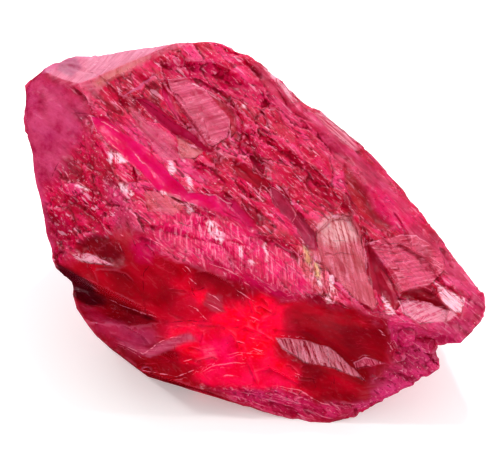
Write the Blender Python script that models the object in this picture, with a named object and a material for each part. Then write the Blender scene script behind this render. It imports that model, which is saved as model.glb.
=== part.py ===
"""A raw ruby crystal: one block of corundum with broad growth faces, stepped blades and a cleft.

The crystal is modelled face-on, in millimetres: u runs right across its broad stepped face,
v runs up it and w comes out of it.  At the end the block leans back on its flat underside.
"""

import math
import random

import bmesh
import bpy
from mathutils import Matrix, Vector
from mathutils.bvhtree import BVHTree

MM = 0.001                # Blender works in metres
LEAN_DEG = 48.0           # how far the face-on block leans back when it rests
ROUGH_BLOCK_MM = 80.0     # the uncut cube that the faces are cleaved from
CUTTER_RISE_MM = 3.0      # a facet's cutter stands this far out of its face
CUTTER_FLARE = 1.3        # how much wider a cutter is at its top than at the face
LIP_MM = 0.04             # a cutter's rim stands this far off its face, to cross it cleanly
PRISM_SIDES = 6           # corundum grows in six-sided prisms

# The block's faces: name, outward direction and a point on the face, both in (u, v, w).
BLOCK_FACES = [
    ("broad stepped face", (0.22, 0.38, 0.90), (-0.67, -3.27, 7.33)),
    ("right bevel", (0.45, 0.535, 0.716), (8.7, 1.7, 2.92)),
    ("left prism face", (-0.62, 0.0, 0.78), (-11.0, 9.2, 4.6)),
    ("lower left face", (-0.33, -0.33, 0.88), (-9.4, -2.4, 5.9)),
    ("front face", (-0.05, -0.55, 0.83), (-0.67, -3.27, 7.33)),
    ("pale end face", (-0.195, 0.859, 0.474), (-11.0, 9.2, 4.6)),
    ("left rim", (-0.98, -0.17, -0.10), (-14.1, 3.6, 2.2)),
    ("left rim, lower", (-0.91, -0.42, -0.05), (-13.0, -1.7, 2.5)),
    ("top left corner", (-0.87, 0.48, 0.10), (-14.85, 9.4, 2.0)),
    ("top left rim", (-0.50, 0.87, -0.10), (-12.7, 10.6, 2.0)),
    ("upper rim", (-0.12, 0.98, -0.15), (-8.5, 11.6, 2.0)),
    ("upper right rim", (0.49, 0.87, 0.10), (0.1, 11.4, 2.0)),
    ("right shoulder", (0.62, 0.77, 0.10), (3.6, 8.2, 2.0)),
    ("right rim", (0.73, 0.67, 0.10), (8.9, 3.45, 2.0)),
    ("right rim, lower", (0.79, 0.60, 0.05), (12.7, -1.2, 3.0)),
    ("right tip", (1.0, 0.0, 0.10), (15.5, -5.2, 3.6)),
    ("right tip, upper", (0.94, 0.30, 0.15), (15.2, -4.0, 3.3)),
    ("right tip, lower", (0.82, -0.57, 0.10), (14.95, -7.2, 2.6)),
    ("lower right corner", (0.74, -0.67, 0.15), (12.4, -9.4, 1.6)),
    ("lower right rim", (0.45, -0.89, 0.15), (9.3, -11.6, 1.3)),
    ("lower right face", (0.30, -0.86, 0.42), (7.4, -12.2, 1.3)),
    ("lower left band", (-0.30, -0.95, 0.15), (-4.3, -10.5, 1.2)),
    ("lower left corner", (-0.60, -0.79, 0.10), (-8.4, -8.6, 1.4)),
    ("lower left rim", (-0.80, -0.60, 0.05), (-11.3, -5.5, 1.6)),
]

# The hidden side, given as it rests: outward direction and distance from the face-on centre.
UNDERSIDE_MM = 8.8
HIDDEN_FACES = [
    ("flat underside", (0.0, 0.0, -1.0), UNDERSIDE_MM),
    ("back face", (0.06, 0.98, 0.10), 8.3),
    ("back left face", (-0.74, 0.66, 0.05), 14.9),
    ("back right face", (0.60, 0.79, -0.05), 8.2),
    ("under back face", (0.10, 0.66, -0.72), 8.6),
    ("under left face", (-0.80, 0.06, -0.58), 13.0),
    ("under right face", (0.66, 0.05, -0.72), 10.8),
    ("under front face", (0.05, -0.72, -0.66), 13.6),
]

# Steps and blades cleaved into a face: name, face, rim outline (u, v), and the valley that the
# cut runs down to, (u, v, depth).
BROAD = "broad stepped face"
FRONT = "front face"
LOWER_LEFT = "lower left face"
STEPS = [
    ("upper hollow", BROAD,
     [(-5.6, 10.6), (-4.2, 11.0), (-2.3, 10.9), (-0.5, 10.0), (0.3, 8.5), (-2.1, 8.5), (-3.7, 9.3)],
     [(-3.8, 10.4, 0.45), (-1.8, 9.9, 0.55), (-0.8, 8.9, 0.45)]),
    ("upper blade", BROAD,
     [(-7.7, 8.5), (-6.4, 8.1), (-4.7, 6.9), (-3.0, 5.5), (-2.3, 4.5), (-3.5, 4.2), (-5.8, 5.5),
      (-7.9, 7.3)],
     [(-7.0, 8.0, 0.3), (-5.8, 6.9, 0.7), (-4.4, 5.7, 0.75), (-3.0, 4.8, 0.4)]),
    ("thin blade", BROAD,
     [(-6.5, 10.2), (-5.2, 9.1), (-3.9, 7.3), (-2.3, 4.9), (-3.5, 6.1), (-5.2, 7.9)],
     [(-5.7, 9.2, 0.25), (-4.5, 7.7, 0.45), (-3.1, 5.7, 0.3)]),
    ("rose terrace", BROAD,
     [(-9.8, 7.8), (-7.8, 8.1), (-5.8, 6.2), (-2.9, 3.9), (-1.0, 2.6), (-2.2, 2.2), (-4.5, 2.9),
      (-6.4, 4.9)],
     [(-7.4, 6.6, 0.3), (-5.0, 4.3, 0.45), (-2.9, 3.0, 0.4)]),
    ("beige terrace", BROAD,
     [(-7.0, 2.5), (-5.4, 2.7), (-3.8, 1.7), (-2.6, 0.5), (-4.4, -0.3), (-6.7, 0.9)],
     [(-5.3, 2.0, 0.45), (-3.7, 1.0, 0.5)]),
    ("middle blade", BROAD,
     [(-1.3, 4.3), (0.0, 4.0), (1.7, 2.6), (3.0, 0.9), (4.5, -1.5), (3.2, -1.5), (1.2, 1.4),
      (-0.6, 2.6)],
     [(-0.3, 3.5, 0.5), (1.0, 2.3, 0.7), (2.3, 0.8, 0.7), (3.6, -1.2, 0.35)]),
    ("crimson band", BROAD,
     [(7.3, 0.3), (8.0, -1.3), (9.0, -3.6), (9.5, -5.2), (8.2, -5.6), (7.4, -2.8)],
     [(7.9, -2.1, 0.6), (8.6, -4.5, 0.7)]),
    ("right blade", BROAD,
     [(9.2, -4.3), (10.6, -3.8), (12.0, -4.6), (12.7, -5.3), (10.9, -5.2)],
     [(10.5, -4.5, 0.5), (11.8, -5.0, 0.45)]),
    ("dark right hollow", BROAD,
     [(6.3, 3.3), (8.0, 2.6), (9.2, 0.8), (8.8, -0.8), (7.3, 0.0), (6.4, 1.6)],
     [(7.5, 2.0, 0.45), (8.3, 0.3, 0.45)]),
    ("upper right terrace", BROAD,
     [(0.8, 8.6), (3.3, 7.4), (5.8, 5.7), (7.4, 3.7), (5.4, 3.5), (3.4, 4.7), (1.0, 6.6)],
     [(3.0, 6.8, 0.4), (5.6, 4.9, 0.5)]),
    ("middle right terrace", BROAD,
     [(-0.3, 6.6), (2.0, 5.6), (4.8, 3.4), (6.2, 1.4), (4.6, 0.6), (2.2, 2.6), (0.3, 4.4)],
     [(1.9, 4.9, 0.4), (4.4, 2.6, 0.55), (5.2, 1.4, 0.4)]),
    ("striae strip", BROAD,
     [(-0.2, -0.2), (2.0, -0.9), (4.0, -1.9), (4.6, -4.0), (3.9, -5.0), (1.8, -4.5), (-0.6, -2.4)],
     [(1.9, -1.3, 0.4), (3.9, -2.4, 0.5), (0.2, -0.6, 0.25)]),
    ("ridge slope", BROAD,
     [(-7.4, 0.2), (-4.6, 0.0), (-1.6, -0.8), (-0.6, -2.4), (-2.6, -3.0), (-6.6, -2.0)],
     [(-4.6, -0.5, 0.4), (-1.8, -1.2, 0.4)]),
    ("upper left terrace", BROAD,
     [(-9.9, 9.3), (-7.4, 10.3), (-6.0, 9.9), (-7.0, 8.9), (-8.4, 8.2), (-10.0, 8.3)],
     [(-8.1, 9.6, 0.3), (-6.9, 9.4, 0.3)]),
    ("upper right hollow", BROAD,
     [(1.0, 10.0), (3.0, 8.4), (4.2, 6.9), (2.6, 7.4), (0.6, 8.8)],
     [(2.2, 8.6, 0.5), (3.2, 7.6, 0.4)]),
    ("front recess", FRONT,
     [(1.9, -4.5), (4.3, -5.0), (6.6, -5.6), (9.3, -6.5), (9.3, -8.9), (7.6, -10.5), (5.4, -9.4),
      (3.2, -9.0), (1.0, -7.6), (0.4, -6.4)],
     [(1.7, -6.7, 0.9), (3.6, -6.9, 2.0), (5.4, -7.6, 1.8), (6.7, -8.8, 1.4), (8.2, -9.0, 0.7)]),
    ("lower front step", FRONT,
     [(2.4, -9.6), (5.2, -9.7), (7.2, -10.9), (6.0, -12.4), (2.9, -12.2)],
     [(5.0, -11.2, 0.5), (3.6, -11.4, 0.4)]),
    ("lower left ledge", FRONT,
     [(-9.6, -6.6), (-7.1, -7.6), (-4.6, -8.0), (-2.6, -9.2), (-3.6, -10.6), (-7.2, -9.9)],
     [(-6.9, -8.3, 0.7), (-4.2, -9.1, 0.7)]),
    ("front left step", FRONT,
     [(-5.4, -3.4), (-2.6, -4.6), (0.4, -5.4), (0.0, -6.8), (-3.0, -7.0), (-5.6, -5.4)],
     [(-3.2, -6.4, 0.45), (-0.8, -6.5, 0.4)]),
    ("bottom ledge", FRONT,
     [(-2.4, -9.6), (0.8, -10.3), (3.3, -11.3), (5.8, -12.0), (3.3, -13.4), (-1.0, -12.6)],
     [(0.4, -11.3, 0.6), (3.1, -12.1, 0.6)]),
    ("cluster hollow", FRONT,
     [(8.6, -6.2), (10.2, -5.9), (12.6, -6.9), (12.6, -9.0), (10.2, -9.4), (8.4, -8.4)],
     [(10.0, -7.0, 1.1), (11.6, -7.4, 1.2), (10.0, -8.4, 0.7)]),
    ("left hollow", LOWER_LEFT,
     [(-11.9, -0.6), (-9.3, 0.1), (-7.2, -0.9), (-7.5, -2.4), (-9.3, -3.1), (-11.7, -2.2)],
     [(-11.0, -1.5, 0.4), (-9.3, -1.8, 0.75), (-8.0, -1.9, 0.5)]),
    ("left face step", "left prism face",
     [(-12.4, 7.6), (-10.6, 7.4), (-9.8, 4.6), (-10.2, 1.8), (-12.2, 2.6)],
     [(-10.9, 6.0, 0.35), (-10.8, 3.4, 0.4)]),
    ("left face notch", "left prism face",
     [(-11.7, 7.7), (-10.0, 7.4), (-9.8, 6.3), (-11.4, 6.7)],
     [(-10.6, 7.1, 0.35)]),
    ("end face dent", "pale end face",
     [(-12.4, 10.5), (-10.9, 10.5), (-9.9, 9.9), (-11.4, 9.8)],
     [(-11.2, 10.1, 0.25)]),
]

# Flat facets sunk into a face: name, face, slope of the floor, and the outline (u, v).  The
# floor leaves the face along the outline's first side and goes down from there.
FACETS = [
    ("striated facet", BROAD, 0.16,
     [(-2.3, 4.3), (-4.4, 7.0), (-5.7, 9.5), (-3.3, 9.9), (-1.4, 8.8), (-0.2, 6.8), (-0.6, 4.9)]),
    ("great facet", BROAD, 0.17,
     [(7.4, -5.4), (4.2, -2.4), (4.2, -0.3), (5.2, 0.7), (6.6, 0.9), (7.4, -0.6), (7.6, -3.0),
      (8.2, -5.5)]),
    ("right terrace", BROAD, 0.14,
     [(9.3, -4.3), (8.0, -1.9), (9.7, -1.1), (11.8, -2.1), (12.7, -3.9), (11.8, -4.6),
      (10.6, -3.9)]),
    ("tip mirror", BROAD, 0.2,
     [(12.7, -5.5), (11.9, -3.6), (13.9, -4.8), (13.6, -5.9)]),
    ("tip terrace", BROAD, 0.2,
     [(12.4, -6.9), (10.1, -6.3), (9.5, -4.5), (11.0, -4.9), (12.9, -5.3)]),
    ("lens shelf", FRONT, 0.5,
     [(7.6, -10.6), (5.4, -9.5), (3.2, -9.1), (1.0, -7.7), (1.6, -6.7), (3.6, -6.8), (5.4, -7.5),
      (7.9, -9.4)]),
]
RISER_RUN = 0.55          # how far a facet's wall leans out for each millimetre that it rises

# The deep cleft and notch go well below their faces: rim outline and valley as above.
CLEFT = [
    ("left cleft", LOWER_LEFT,
     [(-16.0, -1.4), (-13.0, -2.1), (-11.2, -3.3), (-8.3, -4.9), (-5.0, -6.0), (-4.6, -6.6),
      (-7.6, -6.6), (-11.4, -5.3), (-16.0, -5.4)],
     [(-16.0, -2.6, 4.2), (-12.4, -3.4, 3.4), (-10.0, -4.4, 2.8), (-7.4, -5.6, 1.9)]),
]
NOTCH_OUTLINE = [(11.75, -7.6), (14.2, -7.5), (17.0, -7.0), (17.0, -11.0), (12.5, -9.7)]
NOTCH_REACH_MM = 12.0     # the notch goes right through the block's rim

# Long V grooves: name, face, width, and the line of the valley (u, v).
GROOVES = [
    ("winding groove", BROAD, 1.15,
     [(-9.9, 6.8), (-9.0, 6.2), (-7.8, 5.3), (-6.3, 3.7), (-4.5, 2.2), (-2.6, 1.4), (-0.6, 0.5),
      (0.5, -0.7)]),
    ("dark groove", BROAD, 0.5, [(2.0, 2.6), (3.0, 1.0), (4.1, -0.6), (4.6, -2.2)]),
    ("ridge groove", BROAD, 0.45, [(-6.0, 1.4), (-3.6, 0.0), (-1.4, -0.9), (1.4, -1.6)]),
    ("front crack", FRONT, 0.4, [(-8.2, -2.2), (-7.6, -4.0), (-7.9, -5.4), (-6.9, -6.2)]),
    ("front ledge line", FRONT, 0.4, [(-4.6, -4.6), (-3.3, -5.8), (-1.6, -6.2), (0.4, -6.0)]),
]

# Small crystals grown into the block: middle (u, v, w), long axis, radius and length.
SMALL_CRYSTALS = [
    ((10.1, -6.9, 4.3), (0.1, 0.35, 0.9), 1.05, 1.9),
    ((11.2, -7.5, 3.9), (0.6, -0.2, 0.7), 0.95, 1.8),
    ((9.7, -8.1, 3.9), (-0.2, -0.5, 0.8), 0.8, 1.5),
    ((11.6, -6.9, 4.3), (0.5, 0.3, 0.8), 0.6, 1.3),
    ((9.0, -7.0, 4.5), (-0.4, 0.1, 0.9), 0.6, 1.2),
    ((10.6, -8.4, 3.5), (0.3, -0.6, 0.7), 0.7, 1.4),
]
CRYSTAL_TAPER = 0.45      # a small crystal's end, as a share of its width at the root

# Broken skin: name, seed, number of splinters, their length range, depth as a share of length,
# heading of their long side, outward direction of the side they lie on, and its half width and
# half height around the block's middle (u, v, w).
BLOCK_MIDDLE = (0.0, -1.0, -2.0)
BROKEN_SKIN = [
    ("broad face terraces", 31, 26, (2.6, 6.0), 0.05, -52.0, (0.22, 0.38, 0.90), 13.0, 10.0),
    ("broad face splinters", 37, 46, (1.0, 2.4), 0.12, -52.0, (0.22, 0.38, 0.90), 13.0, 10.0),
    ("left terraces", 43, 9, (3.0, 6.5), 0.05, -75.0, (-0.62, 0.0, 0.78), 7.0, 9.0),
    ("left splinters", 41, 26, (0.8, 2.0), 0.12, -75.0, (-0.62, 0.0, 0.78), 5.0, 9.0),
    ("front terraces", 29, 14, (2.5, 6.0), 0.06, -18.0, (-0.05, -0.55, 0.83), 11.0, 6.0),
    ("front splinters", 23, 30, (0.8, 2.2), 0.12, -20.0, (-0.05, -0.55, 0.83), 12.0, 6.0),
    ("lower rim splinters", 61, 26, (0.8, 2.4), 0.13, 12.0, (0.12, -0.94, 0.3), 12.0, 3.0),
    ("upper edge splinters", 67, 12, (0.7, 1.8), 0.12, -35.0, (0.0, 0.9, 0.4), 12.0, 6.0),
    ("back terraces", 71, 20, (5.0, 12.0), 0.05, 12.0, (0.0, 0.67, -0.74), 13.0, 8.0),
    ("back splinters", 73, 22, (1.2, 3.2), 0.1, 20.0, (0.0, 0.67, -0.74), 13.0, 8.0),
    ("left end terraces", 79, 10, (4.0, 9.0), 0.05, 55.0, (-0.95, 0.0, -0.3), 8.0, 8.0),
    ("left end splinters", 83, 12, (1.0, 2.6), 0.1, 60.0, (-0.95, 0.0, -0.3), 8.0, 8.0),
    ("right end terraces", 89, 10, (3.5, 8.0), 0.05, -40.0, (0.85, 0.25, -0.45), 8.0, 8.0),
    ("right end splinters", 97, 12, (1.0, 2.4), 0.1, -35.0, (0.85, 0.25, -0.45), 8.0, 8.0),
]
SPLINTER_WIDTH = (0.25, 0.5)    # a splinter's width, as a share of its length

RUBY_COLOUR = (0.62, 0.02, 0.10, 1.0)
RUBY_ROUGHNESS = 0.22
RUBY_IOR = 1.77


def clear_scene():
    for thing in list(bpy.data.objects):
        bpy.data.objects.remove(thing)


def new_collection(name, hidden=False):
    collection = bpy.data.collections.new(name)
    bpy.context.scene.collection.children.link(collection)
    collection.hide_render = hidden
    return collection


def object_from(name, bm, collection):
    """Makes an object of a bmesh, its faces pointing out."""
    bmesh.ops.recalc_face_normals(bm, faces=bm.faces[:])
    mesh = bpy.data.meshes.new(name)
    bm.to_mesh(mesh)
    bm.free()
    made = bpy.data.objects.new(name, mesh)
    collection.objects.link(made)
    return made


def lean():
    """Turns face-on directions into resting ones."""
    return Matrix.Rotation(math.radians(LEAN_DEG), 4, "X")


def on_face(face, u, v, depth=0.0):
    """The point of a face of the block at (u, v), or this far below it."""
    normal, point = next((n, p) for name, n, p in BLOCK_FACES if name == face)
    slope = normal[0] * (u - point[0]) + normal[1] * (v - point[1])
    return Vector((u, v, point[2] - slope / normal[2] - depth))


def cleave(bm, normal, point):
    """Cuts away everything outside a plane and closes the block with one flat face."""
    geometry = bm.verts[:] + bm.edges[:] + bm.faces[:]
    cut = bmesh.ops.bisect_plane(
        bm, geom=geometry, dist=1e-5, plane_co=point, plane_no=normal, clear_outer=True
    )
    rim = [item for item in cut["geom_cut"] if isinstance(item, bmesh.types.BMEdge)]
    if rim:
        bmesh.ops.contextual_create(bm, geom=rim)


def main_block():
    bm = bmesh.new()
    bmesh.ops.create_cube(bm, size=ROUGH_BLOCK_MM)
    for name, direction, point in BLOCK_FACES:
        cleave(bm, Vector(direction).normalized(), Vector(point))
    face_on = lean().inverted().to_3x3()
    for name, direction, distance in HIDDEN_FACES:
        normal = face_on @ Vector(direction).normalized()
        cleave(bm, normal, normal * distance)
    return bm


def hull_of(points):
    bm = bmesh.new()
    for point in points:
        bm.verts.new(point)
    hull = bmesh.ops.convex_hull(bm, input=bm.verts[:])
    spare = [item for item in hull["geom_interior"] if isinstance(item, bmesh.types.BMVert)]
    bmesh.ops.delete(bm, geom=spare, context="VERTS")
    return bm


def step_cutter(face, outline, valley):
    """A cutter whose lower side runs from the outline, on the face, down to the valley."""
    rim = [on_face(face, u, v, -LIP_MM) for u, v in outline]
    low = [on_face(face, u, v, depth) for u, v, depth in valley]
    middle = sum(rim, Vector()) / len(rim)
    top = []
    for point in rim:
        flared = middle + (point - middle) * CUTTER_FLARE
        top.append(flared + Vector((0.0, 0.0, CUTTER_RISE_MM)))
    return hull_of(rim + low + top)


def facet_cutter(face, slope, outline):
    """A cutter with a flat, sloping floor, and walls that lean out."""
    hinge = Vector(outline[0])
    across = (Vector(outline[1]) - hinge).orthogonal().normalized()
    middle = sum((Vector(point) for point in outline), Vector((0.0, 0.0))) / len(outline)
    if across.dot(middle - hinge) < 0.0:
        across.negate()
    valley = []
    for point in outline[2:]:
        depth = slope * across.dot(Vector(point) - hinge)
        inward = (middle - Vector(point)).normalized() * depth * RISER_RUN
        valley.append((point[0] + inward.x, point[1] + inward.y, depth))
    return step_cutter(face, outline, valley)


def notch_cutter():
    ends = []
    for w in (-NOTCH_REACH_MM, NOTCH_REACH_MM):
        ends += [Vector((u, v, w)) for u, v in NOTCH_OUTLINE]
    return hull_of(ends)


def groove_cutter(name, face, width, line):
    """A four-sided bar that lies half in the face and thins out at its ends."""
    curve = bpy.data.curves.new(name, "CURVE")
    curve.dimensions = "3D"
    curve.bevel_depth = width / 2
    curve.bevel_resolution = 0
    curve.use_fill_caps = True
    spline = curve.splines.new("POLY")
    spline.points.add(len(line) - 1)
    for index, (u, v) in enumerate(line):
        place = spline.points[index]
        place.co = (*on_face(face, u, v), 1.0)
        place.radius = 0.25 + 0.75 * math.sin(math.pi * (index + 0.5) / len(line))
    bar = bpy.data.objects.new(name, curve)
    bpy.context.scene.collection.objects.link(bar)
    graph = bpy.context.evaluated_depsgraph_get()
    bm = bmesh.new()
    bm.from_mesh(bpy.data.meshes.new_from_object(bar.evaluated_get(graph)))
    bmesh.ops.remove_doubles(bm, verts=bm.verts[:], dist=1e-4)
    bpy.data.objects.remove(bar)
    return bm


def small_crystal(middle, axis, radius, length):
    """A six-sided prism with a flat end, as corundum grows."""
    bm = bmesh.new()
    turn = Vector(axis).to_track_quat("Z", "Y").to_matrix().to_4x4()
    place = Matrix.Translation(middle) @ turn
    bmesh.ops.create_cone(
        bm, cap_ends=True, segments=PRISM_SIDES, radius1=radius, radius2=radius * CRYSTAL_TAPER,
        depth=length, matrix=place,
    )
    return bm


def splinter_cutter(rng, place, normal, length, depth, along):
    """A long thin chip with one steep side, lying along a direction on the skin."""
    width = length * rng.uniform(*SPLINTER_WIDTH)
    across = normal.cross(along).normalized()
    along = across.cross(normal)
    rim = []
    for step in range(6):
        turn = math.tau * step / 6
        reach = rng.uniform(0.8, 1.15)
        side = along * math.cos(turn) * length / 2 + across * math.sin(turn) * width / 2
        rim.append(place + side * reach + normal * LIP_MM)
    valley = []
    for share in (-0.22, 0.2):
        foot = along * share * length + across * width * rng.uniform(0.15, 0.3)
        valley.append(place + foot - normal * depth * rng.uniform(0.7, 1.3))
    top = [place + (point - place) * CUTTER_FLARE + normal * CUTTER_RISE_MM for point in rim]
    return hull_of(rim + valley + top)


def splinters_on(tree, name, seed, count, lengths, share, heading, direction, wide, high):
    """Scatters splinters over the skin that faces one direction."""
    rng = random.Random(seed)
    outward = Vector(direction).normalized()
    level = Vector((1.0, 0.0, 0.0)) if abs(outward.x) < 0.8 else Vector((0.0, 0.0, 1.0))
    rise = outward.cross(level).normalized()
    level = rise.cross(outward)
    made = []
    while len(made) < count:
        spot = level * rng.uniform(-wide, wide) + rise * rng.uniform(-high, high)
        start = Vector(BLOCK_MIDDLE) + spot + outward * ROUGH_BLOCK_MM
        length = rng.uniform(*lengths)
        angle = math.radians(heading + rng.uniform(-16.0, 16.0))
        along = level * math.cos(angle) + rise * math.sin(angle)
        place, normal, _, _ = tree.ray_cast(start, -outward)
        if place is None or normal.dot(outward) < 0.5 or rests_on(normal):
            continue
        cutter = splinter_cutter(rng, place, normal, length, length * share, along)
        made.append((f"{name} {len(made)}", cutter))
    return made


def rests_on(normal):
    """Whether a face-on direction points down once the block rests."""
    return (lean().to_3x3() @ normal).z < -0.98


def ruby():
    material = bpy.data.materials.new("ruby")
    material.use_nodes = True
    shader = material.node_tree.nodes["Principled BSDF"]
    shader.inputs["Base Color"].default_value = RUBY_COLOUR
    shader.inputs["Roughness"].default_value = RUBY_ROUGHNESS
    shader.inputs["Metallic"].default_value = 0.0
    shader.inputs["IOR"].default_value = RUBY_IOR
    material.diffuse_color = RUBY_COLOUR
    return material


def boolean(crystal, collection, operation):
    """Joins or cuts the crystal with every object of a collection."""
    step = crystal.modifiers.new(operation.lower(), "BOOLEAN")
    step.operand_type = "COLLECTION"
    step.collection = collection
    step.operation = operation
    step.solver = "EXACT"
    graph = bpy.context.evaluated_depsgraph_get()
    shaped = bpy.data.meshes.new_from_object(crystal.evaluated_get(graph))
    crystal.modifiers.clear()
    crystal.data = shaped


def rest(crystal, helpers):
    """Leans the block back, with the middle of its box's underside at the origin."""
    turn = lean() @ Matrix.Scale(MM, 4)
    for made in [crystal, *helpers]:
        made.data.transform(turn)
    corners = [vertex.co for vertex in crystal.data.vertices]
    low = Vector(min(c[i] for c in corners) for i in range(3))
    high = Vector(max(c[i] for c in corners) for i in range(3))
    shift = Matrix.Translation(-Vector(((low.x + high.x) / 2, (low.y + high.y) / 2, low.z)))
    for made in [crystal, *helpers]:
        made.data.transform(shift)
    return shift.to_translation()


def main():
    clear_scene()
    collection = new_collection("Raw ruby crystal")
    cutters = new_collection("cutters", hidden=True)
    grown = new_collection("small crystals", hidden=True)

    block = main_block()
    tree = BVHTree.FromBMesh(block)
    crystal = object_from("ruby_crystal", block, collection)
    for middle, axis, radius, length in SMALL_CRYSTALS:
        object_from("small crystal", small_crystal(Vector(middle), axis, radius, length), grown)
    for name, face, outline, valley in STEPS + CLEFT:
        object_from(name, step_cutter(face, outline, valley), cutters)
    for name, face, slope, outline in FACETS:
        object_from(name, facet_cutter(face, slope, outline), cutters)
    for name, face, width, line in GROOVES:
        object_from(name, groove_cutter(name, face, width, line), cutters)
    object_from("notch", notch_cutter(), cutters)
    for skin in BROKEN_SKIN:
        for name, bm in splinters_on(tree, *skin):
            object_from(name, bm, cutters)

    boolean(crystal, cutters, "DIFFERENCE")
    boolean(crystal, grown, "UNION")
    helpers = list(cutters.objects) + list(grown.objects)
    for helper in helpers:
        helper.hide_render = True
        helper.display_type = "WIRE"
    crystal.data.materials.clear()
    crystal.data.materials.append(ruby())
    return rest(crystal, helpers)


FACE_ON_CENTRE = main()
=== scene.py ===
"""Dresses a raw ruby crystal: frosted growth faces, deep red broken blades and a painted glow at its heart.

The crystal is described face-on, in millimetres, as it was shaped: u runs right across its broad
stepped face, v runs up it and w comes out of it.  It rests leaning back from there.
"""

import math

import bmesh
import bpy
import numpy as np
from mathutils import Matrix, Vector


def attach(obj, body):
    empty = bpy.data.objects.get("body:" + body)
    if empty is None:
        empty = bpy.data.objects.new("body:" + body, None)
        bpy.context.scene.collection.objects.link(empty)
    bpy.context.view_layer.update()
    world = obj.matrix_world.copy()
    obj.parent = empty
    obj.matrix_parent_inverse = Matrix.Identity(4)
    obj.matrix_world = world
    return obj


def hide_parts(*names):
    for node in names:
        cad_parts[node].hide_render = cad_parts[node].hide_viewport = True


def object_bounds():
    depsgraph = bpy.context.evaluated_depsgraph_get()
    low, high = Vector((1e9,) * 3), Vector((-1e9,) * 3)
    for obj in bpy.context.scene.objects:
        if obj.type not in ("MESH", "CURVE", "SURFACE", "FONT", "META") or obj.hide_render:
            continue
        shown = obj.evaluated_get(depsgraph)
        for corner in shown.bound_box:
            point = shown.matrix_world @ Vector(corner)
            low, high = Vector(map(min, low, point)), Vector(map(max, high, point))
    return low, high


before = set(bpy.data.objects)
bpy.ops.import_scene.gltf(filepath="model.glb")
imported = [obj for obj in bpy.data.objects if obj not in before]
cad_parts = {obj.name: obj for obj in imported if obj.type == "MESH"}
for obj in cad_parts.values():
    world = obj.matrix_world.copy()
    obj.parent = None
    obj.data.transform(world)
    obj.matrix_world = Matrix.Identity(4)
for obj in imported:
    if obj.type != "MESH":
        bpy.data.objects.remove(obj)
cad_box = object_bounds()

MM = 0.001

# How the crystal rests: its face-on middle, and how far it leans back.
FACE_ON_CENTRE = Vector((-0.00014, 0.00004, 0.0088))
LEAN_DEG = 48.0

# The camera looks straight at the face-on crystal.
CAMERA_DISTANCE_MM = 138.9
CAMERA_LENS = 150.0
CAMERA_SENSOR = 36.0

# The surface mesh.
WELD = 1e-6
FLAT_DEG = 0.6            # faces that turn less than this are one facet
SHARP_DEG = 26.0          # edges that turn more than this stay sharp
EDGE_CRISP_MM = 0.13      # the longest edge along crisp rims and thin lines
EDGE_FRONT_MM = 0.25      # the longest edge on the broken front
EDGE_CALM_MM = 0.36       # the longest edge on the smooth front
EDGE_BACK_MM = 0.50       # the longest edge on the far side
CRISP_MM = 0.1            # patches with a softer rim than this have no rim line

# Outward directions of the crystal's main faces, face-on.
BROAD_FACE = (0.22, 0.38, 0.90)
END_FACE = (-0.195, 0.859, 0.474)
END_FACE_ABOVE_MM = 6.0

# Broken shards run down to the right across the broad face, face-on.
SHARD_ALONG = (0.74, -0.66, 0.10)
SHINGLE_MM = (3.4, 1.1, 1.6)      # length, width and depth of the large ones
SHINGLE_RISE_MM = 0.16
SHARD_MM = (1.7, 0.5, 0.7)
SHARD_RISE_MM = 0.075
EVEN_ROUNDS = 70                  # how far an even patch is rubbed smooth

# Gentle swellings of the outline: where they show face-on, their radius, and the push, in mm.
SWELLS = [
    ((-15.0, 7.4), 3.0, (-0.55, 0.0)),
    ((-12.6, 11.1), 2.2, (0.0, 0.30)),
    ((3.4, 8.2), 1.9, (-0.2, -0.25)),
    ((-1.1, 12.2), 1.5, (-0.1, -0.33)),
    ((-14.1, 9.9), 1.8, (0.1, 0.34)),
    ((-14.6, 3.6), 2.6, (-0.2, 0.0)),
]

GRAIN_MM = 0.30
GRAIN_RISE_MM = 0.012
STRIA_MM = 0.40
STRIA_RISE_MM = 0.012
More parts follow.
